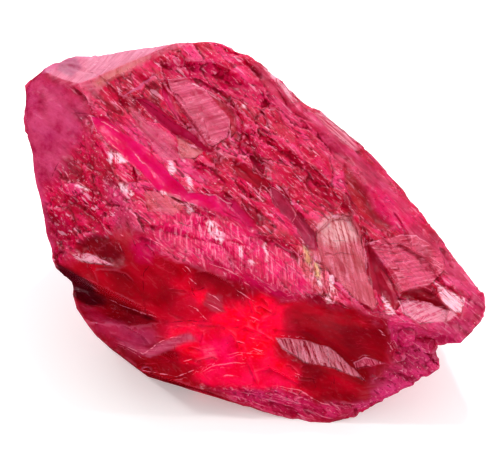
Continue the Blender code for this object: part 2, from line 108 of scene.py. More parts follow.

# Patches of the crystal's face as they look face-on: name, how soft the rim is in mm, what the
# patch is, and its outline in mm.  frost, hot, deep, purple and gold are colours; glow is a painted
# glow, shade is painted shade (it also darkens the stain on the end face) and glint is painted
# glints; sleek is freedom from chips; level is how far the patch stands out in mm.
ZONES = [
    # The end face is frosted, and painted paler also as a reflection of the bright backdrop.
    (
        "frosted end face",
        0.25,
        {"pale": 0.55, "sleek": 0.8},
        [(-13.5, 9.8), (-12.5, 10.7), (-10.8, 11.3), (-7.3, 11.9), (-4.0, 12.3),
         (-5.7, 11.6), (-7.3, 10.9), (-9.2, 10.0), (-10.0, 9.3), (-10.9, 9.1),
         (-12.7, 9.5)],
    ),
    (
        "stain on the end face",
        0.15,
        {"shade": 0.45, "purple": 0.5, "sleek": 0.6},
        [(-12.9, 10.2), (-12.4, 10.9), (-11.6, 11.1), (-11.2, 10.5), (-11.9, 9.9)],
    ),
    (
        "dull band on the end face",
        0.25,
        {"pale": 0.7, "gold": 0.35, "sleek": 0.8},
        [(-10.5, 9.6), (-9.2, 10.4), (-7.3, 11.2), (-6.7, 11.3), (-8.0, 10.5),
         (-9.5, 9.7), (-10.1, 9.3)],
    ),
    (
        "rounded corner",
        0.3,
        {"even": 1.0},
        [(-16.7, 11.4), (-14.0, 10.9), (-14.0, 8.7), (-14.1, 7.1), (-14.3, 5.1),
         (-14.7, 4.1), (-16.7, 3.7)],
    ),
    (
        "left edge",
        0.3,
        {"even": 0.4, "sleek": 0.7, "purple": 0.2},
        [(-15.7, 6.4), (-14.1, 6.1), (-13.7, 1.7), (-12.8, -1.9), (-13.5, -2.5),
         (-15.0, 1.7)],
    ),
    (
        "left face, upper",
        0.9,
        {"sleek": 0.92, "purple": 0.1},
        [(-16.3, 11.1), (-12.7, 9.5), (-10.8, 8.9), (-10.7, 7.4), (-10.8, 5.7),
         (-12.0, 4.1), (-13.3, 2.7), (-16.3, 2.4)],
    ),
    (
        "front face",
        0.8,
        {"sleek": 0.92, "deep": 1.0},
        [(-13.3, -2.4), (-12.7, -2.4), (-8.0, 0.1), (-3.3, -2.4), (-0.7, -3.3),
         (3.3, -4.9), (6.3, -5.7), (9.7, -6.6), (9.3, -8.9), (7.7, -11.6), (5.3, -13.6),
         (-3.3, -13.6), (-12.0, -11.6), (-14.0, -4.9)],
    ),
    (
        "right bevel",
        0.7,
        {"sleek": 0.75, "pale": 0.12},
        [(0.3, 11.1), (1.7, 10.1), (4.7, 7.6), (7.5, 5.1), (12.0, -0.6), (15.3, -4.3),
         (14.5, -4.6), (11.3, -1.5), (6.3, 4.1), (3.3, 7.1), (0.0, 10.3)],
    ),
    (
        "upper hollow",
        0.12,
        {"deep": 0.4, "hot": 0.55, "level": -0.15},
        [(-5.8, 10.9), (-4.2, 11.1), (-2.2, 10.9), (-0.8, 9.7), (0.8, 9.6), (2.1, 8.3),
         (1.5, 7.9), (0.0, 8.2), (-1.1, 8.6), (-2.8, 9.3), (-4.2, 9.9), (-5.3, 10.3)],
    ),
    (
        "long lens",
        0.06,
        {"deep": 0.5, "hot": 0.5, "sleek": 0.95, "level": -0.1},
        [(-7.8, 8.6), (-6.9, 8.5), (-6.0, 7.9), (-4.9, 6.9), (-4.0, 6.4), (-2.5, 4.9),
         (-3.3, 5.1), (-4.9, 6.1), (-6.0, 6.9), (-6.9, 7.7)],
    ),
    (
        "thin blade",
        0.06,
        {"deep": 0.45, "hot": 0.5, "sleek": 0.8, "level": -0.12},
        [(-6.0, 9.7), (-5.5, 8.9), (-4.5, 7.1), (-4.0, 6.2), (-2.5, 4.7), (-3.3, 5.7),
         (-4.8, 7.2), (-5.8, 8.5)],
    ),
    (
        "striated facet",
        0.06,
        {"pale": 0.33, "comb": 0.35, "sleek": 0.8, "level": 0.05},
        [(-5.5, 9.9), (-4.2, 9.9), (-2.7, 8.9), (-1.7, 8.3), (-1.1, 7.5), (-1.5, 5.9),
         (-2.5, 5.3), (-2.8, 5.4), (-3.9, 6.6), (-4.7, 8.1)],
    ),
    (
        "striated facet's rim",
        0.06,
        {"deep": 0.8, "sleek": 0.6, "level": -0.1},
        [(-3.0, 9.2), (-1.9, 8.5), (-1.1, 7.6), (-0.9, 6.4), (-1.3, 5.9), (-1.4, 7.2),
         (-2.1, 8.1)],
    ),
    (
        "hot river",
        0.07,
        {"hot": 1.0, "sleek": 0.93, "even": 1.0},
        [(-10.7, 7.4), (-9.5, 7.1), (-8.1, 6.1), (-6.8, 5.2), (-5.8, 4.1), (-5.1, 3.2),
         (-4.1, 2.3), (-2.2, 2.1), (-1.2, 1.5), (-1.4, 0.7), (-3.1, 1.3), (-4.6, 1.7),
         (-5.7, 2.1), (-6.9, 3.3), (-8.0, 4.3), (-9.1, 5.3), (-10.2, 6.3)],
    ),
    (
        "hot river's mouth",
        0.15,
        {"hot": 0.7, "deep": 0.2, "sleek": 0.7, "level": -0.15},
        [(-2.2, 2.1), (-1.0, 1.7), (0.0, 0.7), (0.8, -0.8), (0.1, -0.7), (-0.8, 0.3),
         (-1.7, 0.9)],
    ),
    (
        "crimson blade",
        0.06,
        {"deep": 0.25, "sleek": 0.95, "level": -0.1},
        [(1.3, 2.7), (2.3, 2.1), (3.3, 0.9), (4.3, -0.5), (4.5, -2.1), (4.1, -1.6),
         (3.3, -0.5), (2.3, 0.7), (1.5, 1.6)],
    ),
    (
        "middle lens",
        0.06,
        {"deep": 0.85, "sleek": 0.85, "level": -0.1},
        [(-1.2, 4.1), (-0.5, 4.1), (0.5, 3.5), (1.4, 2.6), (0.9, 2.4), (0.0, 2.9),
         (-0.9, 3.4)],
    ),
    (
        "great facet",
        0.05,
        {"pale": 0.31, "gold": 0.14, "deep": 0.15, "shade": 0.08, "comb": 0.45, "sleek": 0.7, "level": 0.1},
        [(4.5, 0.1), (5.5, 0.7), (6.9, 0.6), (7.5, -0.5), (7.7, -2.9), (8.5, -5.1),
         (8.2, -5.6), (7.1, -4.9), (5.8, -3.5), (4.5, -2.1)],
    ),
    # The great facet's top carries a painted glint.
    (
        "great facet, top",
        0.4,
        {"pale": 0.95, "gold": 0.22, "glint": 0.5, "comb": 0.42, "sleek": 0.45, "level": 0.1},
        [(4.7, -0.1), (5.5, 0.6), (6.7, 0.5), (7.2, -0.7), (6.7, -1.3), (5.0, -1.1)],
    ),
    (
        "great facet's far side",
        0.06,
        {"deep": 0.7, "sleek": 0.8, "level": -0.2},
        [(7.7, -0.7), (8.5, -1.9), (9.5, -3.6), (10.1, -5.1), (9.8, -5.5), (9.1, -5.1),
         (7.9, -3.7), (7.7, -2.4)],
    ),
    (
        "right striated facet",
        0.08,
        {"pale": 0.28, "gold": 0.03, "hot": 0.15, "comb": 0.55, "sleek": 0.6, "level": 0.04},
        [(7.9, -1.1), (10.0, -0.6), (11.1, -0.6), (12.8, -1.9), (13.1, -2.7),
         (12.2, -3.8), (11.1, -4.3), (10.1, -4.3), (9.6, -3.5), (8.7, -2.1)],
    ),
    (
        "right lens",
        0.06,
        {"deep": 0.9, "sleek": 0.9, "level": -0.2},
        [(10.0, -4.6), (10.7, -4.1), (11.5, -4.1), (12.5, -4.6), (13.1, -5.5),
         (11.8, -5.1), (10.5, -4.8)],
    ),
    # A painted glint on the tip facet.
    (
        "white tip facet",
        0.06,
        {"glint": 0.9, "pale": 0.6, "comb": 0.6, "sleek": 0.6, "level": 0.05},
        [(12.3, -3.7), (13.3, -4.3), (14.3, -4.8), (14.1, -5.8), (13.5, -5.7),
         (12.8, -4.9)],
    ),
    (
        "tip terrace",
        0.07,
        {"pale": 0.45, "glint": 0.3, "purple": 0.3, "sleek": 0.7, "level": 0.03},
        [(10.0, -4.9), (11.8, -5.1), (13.1, -5.5), (13.8, -5.9), (13.1, -6.4),
         (11.3, -6.5), (10.2, -5.7)],
    ),
    (
        "dark right hollow",
        0.2,
        {"deep": 1.0, "shade": 0.04, "sleek": 0.5, "level": -0.2},
        [(6.3, 4.2), (7.2, 3.4), (7.9, 1.9), (8.7, 0.7), (9.9, 0.1), (9.0, -0.1),
         (7.7, 0.6), (6.8, 1.7), (6.3, 3.1)],
    ),
    (
        "hot right hollow",
        0.25,
        {"hot": 0.95, "sleek": 0.4},
        [(7.8, 2.8), (9.0, 2.3), (10.0, 1.3), (11.1, 0.3), (10.3, -0.4), (9.2, 0.3),
         (8.4, 1.2)],
    ),
    # The pale slivers on the upper right rim carry painted glints.
    (
        "pale sliver, upper",
        0.08,
        {"pale": 0.9, "glint": 0.5, "sleek": 0.9},
        [(0.7, 11.2), (1.5, 10.3), (2.3, 9.5), (3.3, 8.5), (2.9, 8.5), (1.9, 9.5),
         (1.1, 10.3)],
    ),
    (
        "pale sliver, lower",
        0.1,
        {"pale": 0.85, "glint": 0.25, "sleek": 0.9},
        [(4.3, 7.8), (5.3, 7.3), (6.3, 6.5), (7.3, 5.2), (6.8, 5.2), (5.7, 6.1),
         (4.8, 6.9)],
    ),
    (
        "rose terrace",
        0.1,
        {"pale": 0.42, "sleek": 0.6},
        [(-8.0, 8.1), (-7.0, 7.2), (-6.0, 6.5), (-5.0, 5.7), (-4.8, 4.4), (-5.7, 4.4),
         (-6.7, 5.7), (-7.7, 6.9)],
    ),
    (
        "pale wedge",
        0.06,
        {"pale": 0.75, "gold": 0.2, "sleek": 0.8, "level": 0.04},
        [(-4.9, 5.9), (-4.0, 5.3), (-3.1, 4.9), (-3.6, 4.5), (-4.7, 4.6)],
    ),
    (
        "combed band",
        0.6,
        {"hot": 0.95, "comb": 0.65, "sleek": 0.4},
        [(-6.7, 0.7), (-3.3, 1.1), (0.7, -0.6), (3.3, -2.4), (4.1, -4.4), (2.7, -4.4),
         (-0.7, -2.8), (-3.7, -1.7), (-6.3, -0.7)],
    ),
    (
        "fibrous edge",
        0.25,
        {"hot": 0.7, "deep": 0.25, "comb": 0.45, "sleek": 0.25},
        [(-6.7, -0.8), (-3.7, -1.7), (-0.7, -2.8), (2.7, -4.4), (3.1, -4.9), (2.0, -4.7),
         (-0.7, -3.7), (-3.3, -2.7), (-6.0, -1.9)],
    ),
    (
        "beige terrace",
        0.12,
        {"pale": 0.5, "gold": 0.15},
        [(-7.0, 2.4), (-6.0, 2.3), (-4.7, 2.0), (-4.4, 1.2), (-5.2, 0.7), (-6.3, 1.1),
         (-6.9, 1.5)],
    ),
    (
        "lilac flank",
        0.5,
        {"purple": 0.6, "pale": 0.2},
        [(-9.7, 3.1), (-8.5, 2.7), (-7.7, 1.4), (-7.3, -0.3), (-8.3, -1.1), (-9.2, 0.1),
         (-9.5, 1.4)],
    ),
    (
        "magenta bump",
        0.35,
        {"hot": 0.6, "purple": 0.4, "sleek": 0.6},
        [(-7.7, -0.5), (-6.7, -0.7), (-6.3, -1.5), (-6.7, -2.4), (-7.5, -2.3),
         (-8.0, -1.4)],
    ),
    # Painted shade in the left hollow.
    (
        "left hollow",
        0.2,
        {"deep": 1.0, "shade": 0.35, "sleek": 0.6, "level": -0.2},
        [(-11.7, -1.5), (-11.0, -0.8), (-10.2, -0.5), (-8.9, -0.9), (-8.4, -1.8),
         (-9.2, -2.4), (-10.2, -2.2), (-11.3, -1.9)],
    ),
    # A painted glint on the hollow's lip.
    (
        "left hollow's lip",
        0.07,
        {"glint": 0.5, "pale": 0.7},
        [(-11.9, -1.8), (-10.9, -1.8), (-9.9, -2.2), (-9.1, -2.6), (-10.5, -2.5),
         (-11.5, -2.2)],
    ),
    # The cleft, its mouth and the face under it carry painted shade.
    (
        "cleft",
        0.12,
        {"shade": 0.95, "deep": 0.9},
        [(-12.5, -2.7), (-10.9, -3.9), (-9.8, -4.7), (-7.8, -5.7), (-5.5, -6.3),
         (-5.5, -6.7), (-7.5, -6.3), (-9.3, -5.6), (-10.5, -4.9), (-11.3, -4.7),
         (-12.0, -4.3), (-12.5, -3.5)],
    ),
    (
        "lobe under the cleft",
        0.5,
        {"deep": 0.55, "purple": 0.35, "sleek": 0.75},
        [(-11.7, -4.7), (-10.0, -5.1), (-7.5, -6.0), (-5.5, -6.8), (-5.7, -7.6),
         (-7.3, -8.3), (-9.2, -7.8), (-10.7, -6.6)],
    ),
    (
        "under the cleft",
        0.3,
        {"deep": 0.95, "shade": 0.3, "sleek": 0.7},
        [(-12.0, -4.3), (-10.0, -4.7), (-7.5, -5.7), (-5.5, -6.5), (-5.6, -7.1),
         (-7.7, -6.7), (-9.7, -6.1), (-11.1, -5.1)],
    ),
    # Painted shade on the lobe under the cleft's overhang.
    (
        "stain on the lobe",
        0.3,
        {"deep": 1.0, "shade": 0.25, "sleek": 0.6},
        [(-9.9, -4.9), (-8.8, -5.1), (-8.0, -5.7), (-8.2, -6.4), (-9.2, -6.3),
         (-9.8, -5.6)],
    ),
    (
        "cleft's mouth",
        0.15,
        {"shade": 1.0, "deep": 1.0},
        [(-13.0, -2.4), (-12.3, -2.7), (-11.6, -3.1), (-10.7, -3.7), (-9.7, -4.4),
         (-9.5, -5.3), (-10.7, -5.3), (-11.5, -4.9), (-12.1, -4.3), (-12.8, -3.3)],
    ),
    # From here to the sparkling spot the front carries a painted glow, as though lit from inside.
    (
        "warm red front",
        1.2,
        {"deep": 0.95, "glow": 0.3, "sleek": 0.92},
        [(-6.0, -5.3), (-5.0, -3.6), (-3.3, -3.9), (-0.7, -4.4), (2.7, -5.3), (3.3, -6.9),
         (2.7, -8.3), (4.7, -9.7), (5.7, -11.1), (2.7, -11.6), (-1.3, -11.1),
         (-4.0, -9.7), (-5.7, -7.9), (-6.7, -6.3)],
    ),
    (
        "glowing heart",
        0.9,
        {"glow": 1.0, "sleek": 0.85},
        [(-1.5, -5.2), (0.0, -4.7), (2.3, -5.5), (2.7, -6.9), (2.0, -7.9), (3.1, -9.3),
         (3.3, -10.6), (0.8, -10.9), (-1.7, -10.7), (-3.0, -9.9), (-3.9, -8.4),
         (-3.6, -6.9), (-2.3, -6.3)],
    ),
    (
        "glow, left",
        0.4,
        {"glow": 0.85, "hot": 0.15, "sleek": 0.9},
        [(-5.5, -6.7), (-3.3, -6.1), (-3.0, -7.3), (-4.0, -8.3), (-5.2, -7.9)],
    ),
    (
        "glow, upper left",
        0.45,
        {"glow": 0.45, "sleek": 0.92},
        [(-5.2, -3.5), (-4.0, -3.3), (-3.7, -4.3), (-4.7, -4.9), (-5.5, -4.4)],
    ),
    (
        "ember",
        0.3,
        {"glow": 0.8, "sleek": 0.9},
        [(-3.7, -4.5), (-2.9, -4.3), (-2.8, -5.1), (-3.5, -5.3)],
    ),
    (
        "crimson island",
        0.12,
        {"deep": 0.7, "pale": 0.15, "sleek": 0.9},
        [(-2.9, -4.4), (-1.9, -4.7), (-1.7, -5.7), (-2.5, -5.7), (-3.1, -5.2)],
    ),
    (
        "glow, below",
        0.5,
        {"glow": 0.8, "hot": 0.35, "sleek": 0.8},
        [(-3.5, -9.3), (0.8, -8.7), (3.3, -10.0), (2.3, -11.3), (-0.7, -11.3),
         (-2.8, -10.7)],
    ),
    (
        "glow's edge",
        0.35,
        {"deep": 0.9, "glow": 0.25, "sleek": 0.95},
        [(2.4, -5.5), (3.3, -5.3), (3.3, -6.9), (2.5, -7.3), (2.2, -6.4)],
    ),
    (
        "hottest spot",
        0.5,
        {"glow": 1.0, "hot": 0.85, "sleek": 0.9},
        [(-3.7, -7.5), (-2.5, -6.9), (-1.2, -7.2), (-0.7, -8.1), (-0.9, -9.2),
         (-2.0, -9.7), (-3.1, -9.3)],
    ),
    (
        "hot band below",
        0.4,
        {"glow": 0.95, "hot": 0.6, "sleek": 0.9},
        [(-3.0, -9.9), (-1.0, -9.7), (1.3, -9.9), (2.8, -10.5), (1.3, -11.1),
         (-1.0, -10.8), (-2.8, -10.5)],
    ),
    (
        "sparkling spot",
        0.25,
        {"glow": 1.0, "hot": 1.0, "glint": 0.12, "sleek": 0.8},
        [(-3.1, -8.1), (-2.4, -8.0), (-2.3, -8.7), (-2.9, -8.8)],
    ),
    # Painted shadow under the broad face.
    (
        "dark under the broad face",
        0.3,
        {"deep": 1.0, "shade": 0.12, "sleek": 0.9},
        [(-3.3, -2.4), (-2.1, -2.5), (0.0, -3.5), (2.3, -4.2), (3.3, -4.8), (2.3, -5.0),
         (0.0, -4.1), (-2.3, -3.6), (-3.3, -3.1)],
    ),
    (
        "dark front",
        0.35,
        {"deep": 1.0, "glow": 0.01, "hot": 0.01, "sleek": 0.95},
        [(2.9, -5.3), (5.5, -5.3), (8.0, -6.0), (9.5, -7.5), (8.7, -8.3), (6.9, -9.1),
         (5.3, -8.1), (3.7, -7.5), (2.7, -6.6)],
    ),
    (
        "dark front, lower",
        0.35,
        {"deep": 1.0, "glow": 0.01, "hot": 0.01, "sleek": 0.9},
        [(3.5, -9.4), (5.3, -9.5), (7.2, -10.2), (7.7, -11.4), (5.5, -11.6), (3.3, -10.6)],
    ),
    (
        "lens shelf",
        0.06,
        {"pale": 0.36, "gold": 0.1, "deep": 0.15, "glint": 0.35, "comb": 1.0, "sleek": 0.85, "level": 0.12},
        [(1.7, -7.4), (3.7, -7.6), (5.3, -8.1), (6.2, -8.8), (7.6, -10.2), (6.9, -10.0),
         (5.5, -9.4), (3.7, -9.1), (2.2, -8.1)],
    ),
    (
        "small shelf",
        0.06,
        {"pale": 0.5, "comb": 0.8, "sleek": 0.8, "level": 0.1},
        [(6.9, -9.1), (7.7, -8.7), (9.1, -9.1), (7.8, -9.3), (7.1, -9.5)],
    ),
    (
        "fibrous rim",
        0.3,
        {"purple": 0.65, "deep": 0.25, "glow": 0.01, "hot": 0.01, "comb": 0.6, "sleek": 0.2},
        [(-1.7, -10.6), (0.0, -10.9), (2.2, -10.8), (4.5, -11.7), (7.1, -11.9),
         (5.5, -12.9), (3.3, -12.9), (1.1, -12.2), (-0.7, -11.7), (-3.0, -10.8)],
    ),
    (
        "small crystals",
        0.12,
        {"purple": 1.0, "hot": 0.35, "sleek": 0.4},
        [(9.2, -6.4), (9.7, -5.8), (10.5, -6.0), (11.5, -6.8), (11.3, -7.9), (10.1, -8.4),
         (9.5, -7.6)],
    ),
    (
        "purple foot",
        0.5,
        {"purple": 0.9, "pale": 0.1},
        [(9.5, -6.1), (11.3, -6.7), (12.4, -7.9), (12.7, -9.3), (12.0, -10.4),
         (10.0, -11.4), (7.8, -12.4), (6.3, -12.6), (7.2, -11.5), (8.0, -10.3),
         (9.2, -9.3), (10.1, -8.3), (9.5, -6.9)],
    ),
    (
        "purple tip",
        0.5,
        {"purple": 0.75, "deep": 0.25, "shade": 0.05, "sleek": 0.45},
        [(14.5, -3.9), (15.7, -4.5), (15.7, -5.9), (15.0, -7.1), (13.9, -8.1),
         (12.0, -8.1), (11.3, -6.9), (13.1, -6.4), (14.1, -5.9)],
    ),
    (
        "left rim, low",
        0.35,
        {"purple": 0.55},
        [(-11.5, -4.9), (-10.0, -6.6), (-8.0, -8.3), (-4.7, -10.1), (-3.0, -10.6),
         (-5.0, -11.1), (-8.7, -8.6), (-10.7, -6.6)],
    ),
    # A painted highlight along the low left ridge.
    (
        "light ridge, low left",
        0.15,
        {"pale": 0.35},
        [(-8.8, -7.7), (-6.7, -8.2), (-5.3, -7.5), (-4.0, -7.1), (-3.5, -7.7),
         (-4.3, -7.7), (-5.2, -8.1), (-6.7, -8.7)],
    ),
    (
        "dark front, left",
        0.9,
        {"deep": 1.0, "shade": 0.06, "glow": 0.01},
        [(-10.0, -2.9), (-6.0, -2.4), (-4.7, -4.3), (-5.7, -6.1), (-8.0, -5.3),
         (-10.0, -4.3)],
    ),
    # Painted shade in the left corner.
    (
        "dark corner",
        0.5,
        {"shade": 0.35, "deep": 0.3},
        [(-14.0, 1.4), (-12.7, 0.7), (-11.7, -0.6), (-12.5, -2.4), (-13.5, -0.9)],
    ),
    (
        "striae strip",
        0.1,
        {"pale": 0.3, "gold": 0.15, "comb": 1.0},
        [(3.2, -1.3), (4.5, -1.6), (5.3, -3.3), (5.9, -4.9), (5.3, -5.2), (4.5, -4.4),
         (3.7, -3.4), (3.1, -2.4)],
    ),
    # Painted glints, tinted gold.
    (
        "gold glints, upper",
        0.1,
        {"gold": 0.9, "glint": 0.8, "pale": 0.25, "comb": 0.9},
        [(3.5, -1.3), (4.0, -1.5), (4.1, -2.7), (3.7, -2.4)],
    ),
    (
        "gold glints, lower",
        0.1,
        {"gold": 0.9, "glint": 0.8, "pale": 0.25, "comb": 0.9},
        [(4.2, -2.3), (4.5, -2.4), (4.8, -3.5), (4.3, -3.3)],
    ),
]

# Small patches painted near white: painted glints.
GLINTS = [
    [(-3.3, -10.5), (-3.1, -10.5), (-2.9, -10.7), (-3.1, -10.8)],
    [(-0.8, -1.3), (-0.5, -1.3), (-0.5, -2.0), (-0.7, -2.0)],
    [(0.9, -1.1), (1.1, -1.1), (1.2, -2.4), (1.0, -2.4)],
    [(-0.1, -2.1), (0.4, -2.3), (0.3, -2.6), (-0.1, -2.4)],
    [(-3.9, 9.6), (-3.5, 9.5), (-3.4, 9.3), (-3.7, 9.4)],
    [(-0.7, 7.9), (-0.4, 8.2), (-0.2, 7.9)],
    [(-5.5, 4.3), (-5.1, 4.4), (-5.0, 3.6), (-5.4, 3.5)],
    [(-4.3, 3.5), (-4.0, 3.3), (-3.7, 2.4), (-4.0, 2.5)],
    [(-2.9, 0.4), (-2.4, 0.5), (-1.7, -0.8), (-2.0, -1.2), (-2.7, -0.5)],
    [(5.1, -4.3), (5.3, -4.1), (5.4, -5.1), (5.2, -5.1)],
    [(5.2, -3.1), (5.5, -3.3), (5.6, -4.4), (5.3, -4.2)],
    [(4.5, -3.3), (4.8, -3.3), (4.8, -4.3), (4.6, -4.1)],
    [(-9.5, 4.9), (-8.8, 5.0), (-8.1, 4.4), (-8.7, 4.2), (-9.5, 4.3)],
    [(-8.9, 3.0), (-8.3, 2.7), (-7.7, 2.1), (-8.1, 2.0), (-8.7, 2.5)],
    [(-11.5, 2.8), (-10.7, 2.5), (-10.7, 2.3), (-11.5, 2.6)],
    [(-5.5, 4.2), (-5.1, 4.3), (-4.9, 3.7), (-5.3, 3.5)],
    [(-4.3, 1.5), (-4.0, 1.5), (-3.7, 1.0), (-4.1, 0.9)],
    [(-2.8, 0.5), (-2.3, 0.3), (-1.8, -0.7), (-2.2, -0.5), (-2.7, -0.1)],
    [(-6.0, 2.4), (-5.6, 2.3), (-5.5, 1.9), (-5.9, 2.1)],
    [(8.7, -4.7), (9.1, -4.7), (9.8, -5.8), (9.2, -5.8)],
]

# Thin lines painted light: painted highlights along ledges and striae.
LIGHT_LINES = [
    [(-7.0, -0.4), (-6.7, -0.7), (-6.0, -1.1), (-5.7, -1.3)],
    [(-4.5, -2.5), (-4.1, -2.8), (-3.9, -3.1)],
    [(-4.1, -3.4), (-3.8, -3.7), (-3.5, -3.9)],
    [(-2.9, -4.4), (-2.3, -4.7), (-1.9, -5.1)],
    [(-2.9, -5.1), (-2.3, -5.4), (-1.8, -5.7)],
    [(-4.2, -5.2), (-3.6, -5.5), (-3.1, -6.0), (-2.7, -6.4)],
    [(-1.0, -4.1), (-0.5, -4.5), (0.0, -4.8), (0.5, -5.1)],
    [(-0.5, -3.7), (-0.1, -3.9), (0.1, -4.1)],
    [(-1.1, -6.2), (-0.7, -6.3)],
    [(-0.1, -6.0), (0.3, -6.1), (0.7, -6.3)],
    [(-0.1, -7.4), (0.4, -7.5), (0.9, -7.6)],
    [(0.1, -8.1), (0.7, -8.3), (1.1, -8.3)],
    [(-1.7, -8.6), (-0.7, -8.4), (0.3, -8.5), (1.2, -8.5)],
    [(-3.5, -9.9), (-2.5, -9.3), (-1.3, -9.1), (0.3, -9.1)],
    [(-2.3, -10.1), (-1.5, -9.9), (-0.3, -10.1)],
    [(-1.0, -7.6), (-0.3, -7.8)],
    [(-8.7, -0.5), (-8.3, -0.7)],
    [(-8.9, -1.1), (-8.6, -1.8)],
    [(-9.7, -4.7), (-8.5, -5.3), (-7.1, -5.8), (-5.5, -6.2)],
    [(-12.5, -2.7), (-11.0, -3.7), (-9.8, -4.5)],
    [(-9.3, -7.6), (-8.0, -8.1), (-7.1, -8.5), (-6.0, -7.7), (-5.2, -7.4), (-3.8, -7.4)],
    [(-8.0, -9.3), (-6.7, -9.7), (-4.9, -10.0), (-3.5, -9.5), (-2.5, -8.9)],
    [(-4.7, -9.1), (-3.8, -8.8)],
    [(9.2, -6.7), (8.9, -6.3), (8.5, -6.0)],
    [(8.5, -6.8), (8.9, -7.1)],
    [(8.7, -7.1), (9.2, -7.4)],
    [(9.1, -7.6), (9.7, -8.5)],
    [(9.5, -7.5), (9.9, -8.1)],
    [(2.9, -9.7), (3.7, -10.1)],
    [(1.1, -10.5), (3.3, -10.9), (4.8, -11.8), (7.1, -12.1)],
    [(-4.9, 2.4), (-4.0, 1.5), (-3.0, 0.9)],
    [(-1.7, -0.4), (-0.7, -0.9), (0.8, -2.4)],
    [(-3.0, -2.4), (-1.7, -2.8), (-0.1, -3.6)],
    [(0.8, 3.1), (0.5, 1.7)],
    [(3.3, 1.4), (2.7, 0.1)],
    [(7.5, -0.5), (7.6, -1.3), (7.6, -2.7)],
    [(7.7, -0.9), (7.7, -2.4)],
    [(11.8, -1.9), (12.4, -2.3), (13.0, -2.6)],
    [(11.7, -2.2), (12.4, -2.6), (13.0, -2.9)],
    [(11.9, -2.6), (12.7, -3.1)],
    [(12.0, -3.0), (12.7, -3.4)],
    [(10.7, -6.2), (11.1, -5.7)],
    [(11.0, -6.3), (11.4, -5.7)],
    [(11.3, -6.5), (11.7, -5.9)],
    [(11.7, -6.5), (12.0, -6.1)],
    [(12.1, -6.5), (12.4, -6.1)],
    [(10.2, -8.3), (11.0, -8.8), (11.7, -8.7)],
    [(10.7, -7.6), (11.3, -8.0), (11.9, -8.3)],
    [(3.3, -7.6), (3.5, -8.4), (3.6, -9.2)],
    [(3.7, -7.7), (3.9, -9.2)],
    [(4.0, -7.7), (4.3, -9.3)],
    [(4.5, -7.9), (4.8, -9.3)],
    [(5.5, -8.4), (5.9, -9.6)],
    [(6.1, -9.1), (6.5, -9.9)],
    [(-7.3, 7.9), (-6.8, 7.5), (-6.1, 6.9)],
    [(-7.8, 8.6), (-6.9, 7.7), (-6.0, 6.9)],
    [(-10.3, 7.2), (-9.3, 6.7), (-8.3, 6.0)],
    [(-8.1, 5.3), (-7.3, 4.4), (-6.5, 3.7)],
    [(-5.7, 2.0), (-4.7, 1.5), (-3.8, 1.3)],
    [(0.5, 3.0), (1.3, 2.3), (2.0, 1.2)],
    [(1.5, 1.6), (2.2, 0.8), (3.2, -0.4)],
    [(2.5, 1.7), (3.1, 0.9), (3.5, 0.3)],
    [(6.3, 3.2), (6.8, 2.8)],
    [(6.5, 2.3), (6.9, 1.9)],
    [(6.5, 1.4), (7.1, 1.0)],
    [(-11.7, 3.1), (-10.7, 2.5), (-10.2, 2.0)],
    [(-12.7, 4.4), (-12.1, 3.1), (-11.9, 2.0)],
    [(-10.0, 6.4), (-9.2, 5.6), (-8.4, 4.9)],
]

